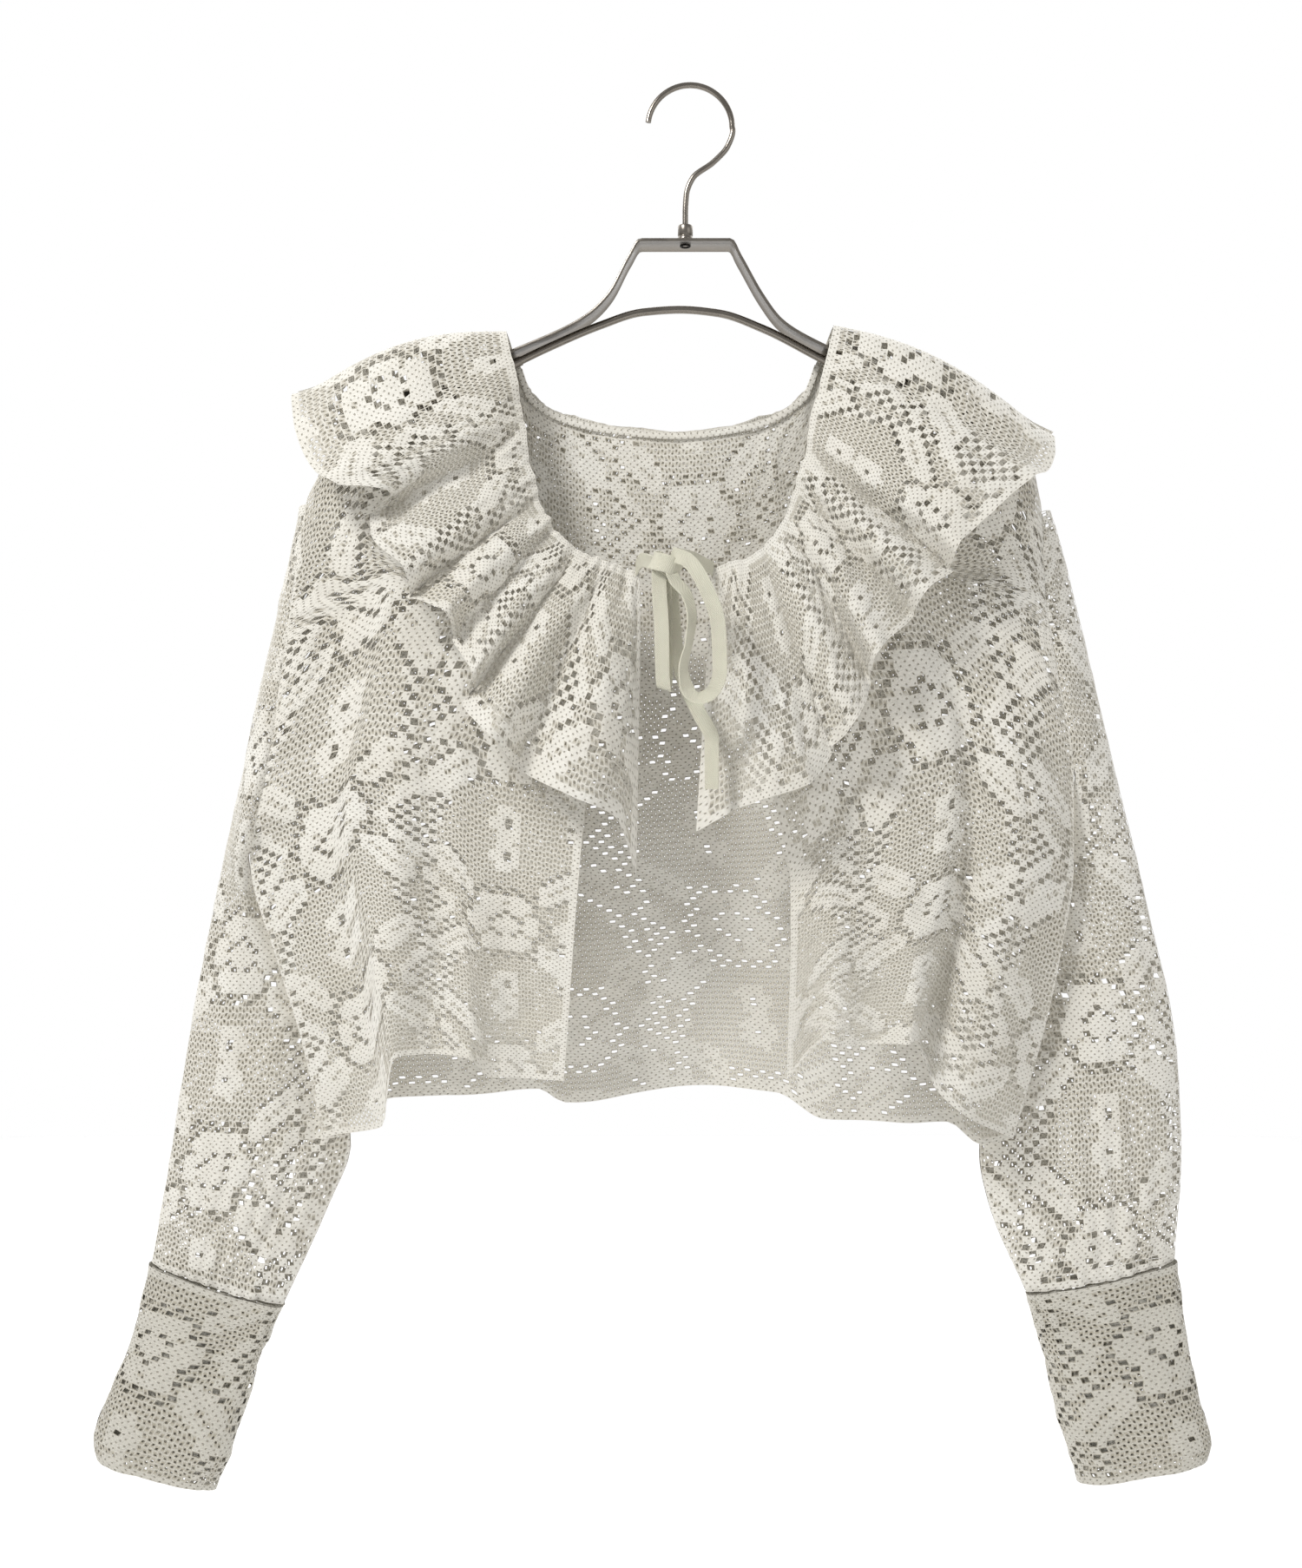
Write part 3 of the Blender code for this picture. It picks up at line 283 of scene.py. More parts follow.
FLOUNCE_RIGHT = (
    (0, 90, -153.5, 229, -221, 3), (0.07, 87, -170, 220, -247, 20), (0.14, 83, -187, 198, -262, 34),
    (0.21, 78, -208, 178, -281, 36), (0.28, 75, -224, 158, -300, 38), (0.33, 73, -234, 158, -311, 15),
    (0.4, 70, -247, 139, -326, 36), (0.45, 67, -257, 134, -339, 15), (0.54, 63, -268, 110, -363, 38),
    (0.6, 58, -279, 108, -379, 15), (0.68, 51, -291, 94, -406, 38), (0.74, 44, -298, 84, -421, 15),
    (0.82, 35, -303, 66, -442, 34), (0.9, 26, -306, 42, -450, 42), (0.96, 20, -308, 27, -456, 30),
    (1, 14, -310, 4, -470, 18),
)
# How far a flounce rises beside its shoulder fold, and the waves of its back half and their height
RIDGE_RISE = 11.0
BACK_FLOUNCE_WAVES = 6
BACK_FLOUNCE_LIFT = 9.0
# How far along a flounce the rise and the arch beside its shoulder fold reach, in front and behind
FRONT_FOLD = (0.10, 0.035)
BACK_FOLD = (0.06, 0.03)
# How a flounce's waves grow down to its hem, and how far it bellies between the neck and the hem
WAVE_GROWTH = 0.8
FLOUNCE_BELLY = 5.0
BACK_FLOUNCE_BELLY = 3.0
# Back half of the flounce, from the left shoulder fold to the right. Columns: how far along, x, z
BACK_FLOUNCE_NECK = ((0, -116, -157.5), (0.1, -104, -186), (0.22, -80, -203), (0.5, -8, -213.5),
                     (0.78, 52, -203), (0.9, 76, -186), (1, 90, -153.5))
BACK_FLOUNCE_HEM = ((0, -248, -195), (0.1, -226, -252), (0.22, -172, -296), (0.5, -10, -342),
                    (0.78, 150, -296), (0.9, 205, -254), (1, 229, -221))

# The hook's lower part, down into its ferrule, then the strap and the rod from the left. Columns: x, z
HOOK_END = ((27.1, -26.4), (24, -36.5), (14.9, -46.8), (1.7, -57), (-2.4, -68), (-3, -80), (-3, -96.4))
STRAP_PATH = (
    (-203.5, -210), (-160, -190.6), (-118.3, -172), (-66, -147.5), (-51, -133), (-38, -109),
    (-31, -99.4), (25, -99.4), (31, -109), (45.5, -134.5), (58, -150.5), (87.5, -167.5), (140, -190.9),
    (196.9, -216.4),
)
ROD_PATH = (
    (-200, -214), (-160, -196.2), (-118.3, -178), (-90, -164.5), (-57.2, -150.5), (-30, -142),
    (-6, -140.4), (18, -142.6), (46.2, -152.5), (87.5, -173.6), (140, -196.9), (193, -220.5),
)
# The short sleeve that joins the rod, from its lower end
ROD_JOINT = ((-117, -177.4), (-112, -175.1), (-107, -172.7))

# Tie of twill tape. Columns: x, y, z
TIE_LOOP_RIGHT = (
    (-13, -84.8, -307), (-4, -91, -311), (7, -95, -328), (14, -96, -350), (15, -96, -376),
    (10.5, -95, -388), (3, -94, -391.5), (-4.5, -93, -386), (-6, -92, -374), (-3, -90.5, -360),
    (-1, -89.5, -344), (-4, -88.5, -331), (-11, -86.5, -322),
)
TIE_LOOP_LEFT = (
    (-20, -82.5, -322.5), (-18.5, -84, -350), (-18, -85, -376), (-17.5, -84, -382.5), (-17, -81, -385.5),
    (-16.5, -78, -382.5), (-16, -77, -376), (-16, -78, -350), (-17, -79.5, -322.5),
)
TIE_TAIL = (
    (-13, -75.5, -321.6), (-11, -73, -350), (-6, -73, -378), (4, -75, -400), (11, -76, -415),
    (11, -76, -444),
)
TIE_END_LEFT = ((-34, -32.1, -309), (-30.5, -58, -307), (-22.8, -76.3, -311.2))
TIE_END_RIGHT = ((-9.2, -76.8, -306.3), (-1, -62, -306), (13.5, -33.4, -309))
# Middle of the knot
TIE_KNOT = (-16.0, -79.0, -313.5)
# The wrap of the knot, from its middle, and its width. Columns: x, y, z
KNOT_TURN = ((-5, 3, 4.5), (-8, -1, 3.6), (-5, -6.6, 2.2), (0.5, -8.2, 0.6), (5.4, -6, -1.4), (8, 0, -3),
             (4, 3.6, -2), (-1, 4.4, 2), (-5.6, 2.2, 5))
KNOT_WIDE = 10.4
# Where the tapes end inside the wrap of the knot
IN_KNOT = ((-20, -82, -313.5), (-17, -79, -313.5), (-13.5, -84, -314.5), (-13.5, -77, -313.5))
# The tapes of the tie. Columns: node, route, what its width lies along, and how it leans on the way
TAPES = (
    ("tie_loop_right", TIE_LOOP_RIGHT + IN_KNOT[2:3], None,
     ((0, 10), (0.3, 0), (0.5, 25), (0.72, 62), (1, 30))),
    ("tie_loop_left", IN_KNOT[0:1] + TIE_LOOP_LEFT + IN_KNOT[1:2], (1, 0, 0), ((0, 0), (0.5, 20), (1, -10))),
    ("tie_tail", IN_KNOT[3:4] + TIE_TAIL, None, ((0, 5), (0.4, -28), (0.7, 10), (1, 24))),
    ("tie_end_left", TIE_END_LEFT, (0, 0, 1), ((0, 0), (1, 12))),
    ("tie_end_right", TIE_END_RIGHT, (0, 0, 1), ((0, -10), (1, 0))),
)

# One mesh step of the lace, across and down. Two steps across make one square of the pattern
STEP_ACROSS = 2.6
STEP_DOWN = 4.1
# How far the pattern repeats, across and down
REPEAT = (122.0, 138.0)
# Holes inside a step of the net, as shares of it: near, far, top and bottom. Beside each other they
# stand high and low in turn, so that the net's holes are staggered
NET_HIGH = (0.27, 0.73, 0.07, 0.46)
NET_LOW = (0.27, 0.73, 0.54, 0.93)
OPEN_HOLE = (0.10, 0.90, 0.10, 0.90)
# How wide the back's holes are against the fronts', because it shows less open
CLOSER = 0.55
CLOTH, NET, OPEN = 0, 1, 2
# Leaves of the pattern. Columns: across and down from the flower's middle, half length and width, turn
LEAVES = ((40, 34, 17, 7, 0.7), (-40, 34, 17, 7, -0.7), (38, -36, 15, 6.5, -0.8), (-38, -36, 15, 6.5, 0.8))
# Winding chains: how far from the flowers, how far they sway and half their width
CHAIN = (50, 7, 5.5)
# Half sizes of the diamond, and how far its solid border reaches out
DIAMOND = (20, 24, 1.35)
# The large flower: its petals' reach, the ring of squares round it and the edges of its eye
PETALS = 25
PETAL_RING = (2, 9)
EYE = (5, 7, 11, 13)
# The small flowers above and below it: their height from its middle, petals' reach and eye
SMALL_FLOWERS = (56, -58)
SMALL_PETALS = 13
SMALL_EYE = 3.2
# How far each crossing of the lace strays, in mm, and how far it leans to and fro, in steps
UNEVEN = 0.28
SLANT = 0.22
# How far the thread round a hole lies below the cloth's face
HOLE_SUNK = 0.22
# The least share of a half square, cut by a sheet's edge, that may still be net
CUT_SHARE = 0.6
# The width beside a seam over which the creases die away
EDGE_CALM = 14.0
# How far a place is moved, as a share of the sheet, to find which way the cloth faces
NUDGE = 0.006
# Added to a sheet's own seed for its small creases, and the size and seed of every ruffled edge
SMALL_SEED = 40
RUFFLE_SIZE = 15
RUFFLE_SEED = 5
# The flounce's height over the drape that the solids follow, and how far its hem waves
FLOUNCE_LIFT = 2.2
FLOUNCE_RUFFLE = 2.2
# The least flat width of a sheet, in mm
LEAST_FLAT = 10

# How far apart the grains of each material's patterns are, in mm. Fibre and brush marks are really
# far finer than a tenth of a millimetre and are drawn as coarse as they need to show
FUZZ = 1.111
YARN = 3.03
PATCH = 45.45
WANDER = 6.25
TAPE_FUZZ = 0.8333
SOIL = 16.667
BRUSHED = (16.667, 0.625, 1.111)
MARKS = 8.333
ROLLER = 11.11
# Ribs of the twill, really 0.7 mm apart
RIB = 1.0
# How deep those patterns are, in mm, and how far a row of thread wanders up and down
THREAD_DEPTH = 0.9
RIB_DEPTH = 0.3
BRUSH_DEPTH = 0.04
ROLLER_DEPTH = 1.0
WANDER_BY = 1.6
# The shade side of the cuffs' lace against its light side
CUFF_DULL = 0.92

# Height of the floor and half its width, in mm
FLOOR_Z = -1150.0
FLOOR_HALF = 2300.0
# Strength of the white room on the camera's side and behind the garment
ROOM_NEAR = 0.47
ROOM_FAR = 1.0
# Lights. Columns: name, place in m, what it points at in m, size in m, power in W
LAMPS = (("key_light", (-1.1, -1.3, 1.0), (-0.02, 0.0, -0.45), 0.5, 34.0),
         ("fill_light", (1.5, -1.3, 0.0), (-0.02, 0.0, -0.45), 1.4, 6.0),
         ("floor_light", (0.0, 1.3, 0.4), (0.0, 1.3, -1.15), 2.0, 20.0))
# The camera: its place across and up, in m, its focal length and its sensor, in mm
EYE_X = -0.02475
EYE_Z = -0.441
LENS = 38.4
SENSOR = 36.0


def coons(top, bottom, left, right):
    """A surface between four boundary curves."""
    corner = (left(0), right(0), left(1), right(1))

    def at(u, v):
        return ((1 - u) * left(v) + u * right(v) + (1 - v) * top(u) + v * bottom(u)
                - (1 - u) * (1 - v) * corner[0] - u * (1 - v) * corner[1]
                - (1 - u) * v * corner[2] - u * v * corner[3])
    return at


def fold_height(folds, x, z):
    """How far a panel's folds lift a place on it."""
    total = 0.0
    for x0, z0, x1, z1, width, height in folds:
        along = np.array([x1 - x0, z1 - z0])
        length = np.linalg.norm(along)
        t = ((x - x0) * along[0] + (z - z0) * along[1]) / length**2
        off = ((x - x0) * along[1] - (z - z0) * along[0]) / length
        total += height * smooth(t) * math.exp(-(off / width) ** 2)
    return total


def pressed_flat(edge):
    """A side edge with its front and back laid together."""
    def at(v):
        x, _, z = edge(v)
        return np.array([x, SIDE, z])
    return at


def body_panel(top, bottom, inner, outer, folds, side, belly, neck=(2.0, 2.0)):
    """A body panel, arched over the hanger at its shoulders but not along its neck.

    side is -1 in front, 1 behind. The armhole opens out of the outer edges; a front has one
    of them, and its other edge, inner, keeps the depth of its table.
    """
    is_back = side > 0
    patch = coons(top, bottom, pressed_flat(inner) if is_back else inner, pressed_flat(outer))

    def at(u, v):
        x, depth, z = patch(u, v)
        depth += (outer(v)[1] - SIDE) * (1 - smooth((1 - u) / ARMHOLE_REACH))
        if is_back:
            depth += (inner(v)[1] - SIDE) * (1 - smooth(u / ARMHOLE_REACH))
        away = min(u, 1 - u) if is_back else 1 - u
        depth += smooth(away / BELLY_REACH) * smooth(v / BELLY_DROP) * (belly + fold_height(folds, x, z))
        drop = max(top(u)[2] - z, 0) / ARCH_DROP
        at_neck = neck[0] + 0.004 < u < neck[1] - 0.004
        arch = math.sqrt(1 - (1 - drop) ** 2) if drop < 1 and not at_neck else 1
        return np.array([x, side * (SEAM + (max(depth, SIDE) - SEAM) * arch), z])
    return at


def body_maps():
    """The two fronts and the back, each a function of how far across and how far down."""
    shoulder = {"left": path(SHOULDER_LEFT), "right": path(SHOULDER_RIGHT)}
    outer = {"left": path(OUTER_LEFT), "right": path(OUTER_RIGHT)}
    front_left = body_panel(shoulder["left"], path(HEM_LEFT), path(OPENING_LEFT), outer["left"],
                            FOLDS_FRONT_LEFT, -1, 6.0)
    front_right = body_panel(shoulder["right"], path(HEM_RIGHT), path(OPENING_RIGHT), outer["right"],
                             FOLDS_FRONT_RIGHT, -1, 6.0)
    back = body_panel(path(BACK_TOP), path(BACK_HEM), outer["left"], outer["right"],
                      FOLDS_BACK, 1, 4.0, (NECK_FROM, NECK_TO))
    return front_left, front_right, back


def sleeve_map(outer_rows, inner_rows, armhole_rows, underarm, side):
    """Half a sleeve, from its outer fold to the armhole and, below it, the underarm seam.

    side is -1 in front, 1 behind.
    """
    outer, inner, armhole = path(outer_rows), path(inner_rows), path(armhole_rows)
    bulge_at = path(SLEEVE_BULGE)
    out = -1 if outer_rows[0][1] < 0 else 1
    free_from = inner_rows[0][0]

    def at(u, v):
        start = outer(v) + np.array([0, side * SIDE, 0])
        if v < free_from:
            x, depth, z = armhole(ARMHOLE_TOP + (underarm - ARMHOLE_TOP) * v / free_from)
            end = np.array([x - out * ARMHOLE_LAP, side * (depth - ARMHOLE_SUNK), z])
        else:
            end = inner(v) + np.array([0, side * SIDE, 0])
        place = start + (end - start) * u
        turn = math.sin(math.pi * u / 2) ** SLEEVE_TURN if u > 0 else 0
        rounded = math.sin(math.pi * u) ** SLEEVE_ROUND if 0 < u < 1 else 0
        gathered = smooth((v - GATHER_FROM) / (1 - GATHER_FROM))
        gather = GATHER_DEPTH * gathered * math.sin(GATHERS * math.pi * u) ** 2
        bulge = float(bulge_at(v)[0]) - gather
        place[1] = start[1] + (end[1] - start[1]) * turn + side * rounded * bulge
        return place
    return at


def cuff_map(outer_rows, inner_rows):
    """The ring of a cuff, from its outer fold round through the front."""
    outer, inner = path(outer_rows), path(inner_rows)

    def at(angle, v):
        v = min(max(v, 0.0), 1.0)
        start, end = outer(v), inner(v)
        middle, half = (start + end) / 2, (end - start) / 2
        ripple = 1 + CUFF_RIPPLE * math.sin(5 * angle + 3 * v)
        depth = CUFF_BULGE * math.copysign(abs(math.sin(angle)) ** CUFF_ROUND, math.sin(angle)) * ripple
        return middle + half * -math.cos(angle) + np.array([0, -depth, 0])
    return at


class Under:
    """The cloth that a flounce or tie lies over, as sampled points."""

    def __init__(self, maps, side):
        self.side = side
        self.points = np.array([at(u, v) for at in maps
                                for u in np.linspace(0, 1, 41) for v in np.linspace(0, 1, 101)])

    def clear(self, x, z, reach=11.0):
        """Depth, away from the middle, that clears the cloth near a place, falling off beside it."""
        apart = np.maximum(np.abs(self.points[:, 0] - x), np.abs(self.points[:, 2] - z))
        fall = EASE * np.maximum(apart - reach, 0)
        return float((self.side * self.points[:, 1] - fall).max())


def flounce_place(neck, hem, v, edge, fold, wave, under):
    """A place on a flounce, v of the way from its neck seam to its hem.

    edge is how far along it lies from a shoulder fold, and fold how far along that fold's rise
    and arch reach. wave is how far the flounce stands off the cloth below it.
    """
    x = neck[0] + (hem[0] - neck[0]) * v
    z = neck[1] + (hem[1] - neck[1]) * v
    z += RIDGE_RISE * math.sin(math.pi * min(v * 1.1, 1)) * (1 - smooth(edge / fold[0]))
    away = under.clear(x, z) + LACE + CLEAR
    arched = math.sqrt(1 - (1 - min(edge / fold[1], 1)) ** 2)
    return np.array([x, under.side * (SEAM + (away + wave - SEAM) * arched), z])


def flounce_map(rows, under):
    """A front half of the flounce, from the shoulder fold down to the tie."""
    table = path(rows)

    def at(u, v):
        neck_x, neck_z, hem_x, hem_z, lift = table(u)
        wave = lift * v ** WAVE_GROWTH + FLOUNCE_BELLY * math.sin(math.pi * v)
        return flounce_place((neck_x, neck_z), (hem_x, hem_z), v, u, FRONT_FOLD, wave, under)
    return at


def back_flounce_map(under):
    """Falls behind the back panel from the shoulder folds and the back neckline."""
    neck, hem = path(BACK_FLOUNCE_NECK), path(BACK_FLOUNCE_HEM)

    def at(u, v):
        turns = 2 * math.pi * BACK_FLOUNCE_WAVES * u
        wave = (BACK_FLOUNCE_LIFT * (1 - math.cos(turns)) * v ** WAVE_GROWTH
                + BACK_FLOUNCE_BELLY * math.sin(math.pi * v))
        return flounce_place(neck(u), hem(u), v, min(u, 1 - u), BACK_FOLD, wave, under)
    return at


# lace


def ramp(t):
    """A soft step from 0 to 1, over an array."""
    t = np.clip(t, 0, 1)
    return t * t * (3 - 2 * t)


def crumple(x, y, size, seed):
    """Smooth random height from -1 to 1 over arrays of places, with bumps about size across."""
    values = np.random.default_rng(seed).uniform(-1, 1, (64, 64))
    x, y = np.asarray(x) / size, np.asarray(y) / size
    i, j = np.floor(x).astype(int), np.floor(y).astype(int)
    a, b = ramp(x - i), ramp(y - j)

    def at(p, q):
        return values[p % 64, q % 64]
    return ((at(i, j) * (1 - a) + at(i + 1, j) * a) * (1 - b)
            + (at(i, j + 1) * (1 - a) + at(i + 1, j + 1) * a) * b)


def lace_chart(x, y, across, down):
    """What each square of the lace is. x and y are its place in mm, across and down its count."""
    column = np.floor(x / REPEAT[0])
    y = y + (column % 2) * REPEAT[1] / 2
    fx = x - (column + 0.5) * REPEAT[0]
    fy = (y % REPEAT[1]) - REPEAT[1] / 2
    checker = (across + down) % 2 == 0
    kind = np.full(x.shape, NET)

    # chains of open squares that wind between the flowers
    winding = np.abs(np.abs(fx) - CHAIN[0] - CHAIN[1] * np.sin(2 * np.pi * y / REPEAT[1]))
    kind[winding < CHAIN[2]] = CLOTH
    kind[(winding < CHAIN[2]) & checker] = OPEN

    # a diamond of checkered squares between four flowers
    diamond = np.abs(np.abs(fx) - REPEAT[0] / 2) / DIAMOND[0] + np.abs(fy) / DIAMOND[1]
    kind[diamond < DIAMOND[2]] = CLOTH
    kind[(diamond < 1) & checker] = OPEN

    # leaves with a veined middle
    for lx, ly, half_long, half_wide, turn in LEAVES:
        along = (fx - lx) * math.cos(turn) + (fy - ly) * math.sin(turn)
        aside = (fy - ly) * math.cos(turn) - (fx - lx) * math.sin(turn)
        leaf = (along / half_long) ** 2 + (aside / half_wide) ** 2
        kind[leaf < 1.9] = CLOTH
        kind[(leaf >= 1.9) & (leaf < 3.0) & checker] = OPEN
        kind[(np.abs(aside) < 1.3) & (leaf < 0.8)] = NET

    # the large flower: petals, a ring of squares about its eye and one about the whole
    r, angle = np.hypot(fx, fy * 0.96), np.arctan2(fy, fx)
    petal = PETALS * (0.80 + 0.20 * np.abs(np.cos(3 * angle)))
    kind[r < petal + PETAL_RING[1]] = NET
    kind[(r < petal + PETAL_RING[1]) & (r > petal + PETAL_RING[0]) & checker] = OPEN
    kind[r < petal + PETAL_RING[0]] = CLOTH
    kind[(np.abs(np.cos(3 * angle)) < 0.20) & (r > EYE[2]) & (r < petal)] = NET
    kind[(r > EYE[1]) & (r < EYE[3]) & checker] = OPEN
    kind[r < EYE[0]] = CLOTH

    # small five-petalled flowers above and below
    for middle in SMALL_FLOWERS:
        r, angle = np.hypot(fx, fy - middle), np.arctan2(fy - middle, fx)
        kind[r < SMALL_PETALS * (0.72 + 0.28 * np.abs(np.cos(2.5 * angle)))] = CLOTH
        kind[r < SMALL_EYE] = OPEN
    return kind


class Sampled:
    """A drape(u, v) sampled once on a grid, and read from it for whole arrays of places."""

    def __init__(self, drape, columns, rows):
        self.us = np.unique(np.concatenate([np.linspace(0, 1, columns), (0.004, 0.010, 0.99, 0.996)]))
        self.vs = np.unique(np.concatenate([np.linspace(0, 1, rows), (0.002, 0.005, 0.010)]))
        self.points = np.array([[drape(float(u), float(v)) for u in self.us] for v in self.vs])
        self.width = np.linalg.norm(np.diff(self.points, axis=1), axis=2).sum(axis=1)
        self.length = float(np.linalg.norm(np.diff(self.points, axis=0), axis=2).sum(axis=0).mean())

    def at(self, u, v):
        i = np.clip(np.interp(u, self.us, np.arange(len(self.us))), 0, len(self.us) - 1.0001)
        j = np.clip(np.interp(v, self.vs, np.arange(len(self.vs))), 0, len(self.vs) - 1.0001)
        i0, j0 = i.astype(int), j.astype(int)
        a, b = (i - i0)[..., None], (j - j0)[..., None]
        p = self.points
        return ((p[j0, i0] * (1 - a) + p[j0, i0 + 1] * a) * (1 - b)
                + (p[j0 + 1, i0] * (1 - a) + p[j0 + 1, i0 + 1] * a) * b)

    def outward(self, u, v, place, facing):
        """Unit vectors out of the cloth at each place, and -1 where they had to be turned round."""
        along = self.at(np.clip(u + NUDGE, 0, 1), v) - self.at(np.clip(u - NUDGE, 0, 1), v)
        fall = self.at(u, np.clip(v + NUDGE, 0, 1)) - self.at(u, np.clip(v - NUDGE, 0, 1))
        normal = np.cross(along, fall)
        normal /= np.maximum(np.linalg.norm(normal, axis=2), 1e-9)[..., None]
        if facing:
            out = 1.0 if normal[..., 1].mean() * facing > 0 else -1.0
        else:
            out = 1.0 if (normal * (place - place.mean(axis=1)[:, None])).sum() > 0 else -1.0
        return normal * out, out


def charted(width, share, start, gathered, hems):
    """What each half square of a sheet is, with solid squares at its hems and its cut edges.

    width holds the sheet's width at each row of crossings and share how wide each half square is.
    """
    down, across = share.shape
    rows, cols = np.indices(share.shape)
    square = cols // 2
    x = square * 2 * STEP_ACROSS + STEP_ACROSS + start[0]
    y = (rows + 0.5) * STEP_DOWN + start[1]
    kind = lace_chart(x, y, square + int(round(start[0] / STEP_ACROSS / 2)),
                      rows + int(round(start[1] / STEP_DOWN)))
    from_far = across - cols
    if not gathered:
        kind[share < STEP_ACROSS * CUT_SHARE] = CLOTH
        from_far = np.minimum(width[:-1], width[1:])[:, None] / STEP_ACROSS - cols
    near, far, top, bottom = hems
    kind[(cols < 2 * near) & (near > 0)] = CLOTH
    kind[(from_far <= 2 * far) & (far > 0)] = CLOTH
    kind[rows < top] = CLOTH
    kind[rows >= down - bottom] = CLOTH
    # an open square whose other half was made solid becomes net
    pair = kind.reshape(down, across // 2, 2)
    broken = (pair[..., 0] != pair[..., 1])[..., None] & (pair == OPEN)
    return np.where(broken, NET, pair).reshape(down, across)


def narrowed(hole, share):
    """A hole's four edges, drawn in round its middle."""
    a0, a1, b0, b1 = hole
    a, b = (a0 + a1) / 2, (b0 + b1) / 2
    return a + (a0 - a) * share, a + (a1 - a) * share, b + (b0 - b) * share, b + (b1 - b) * share


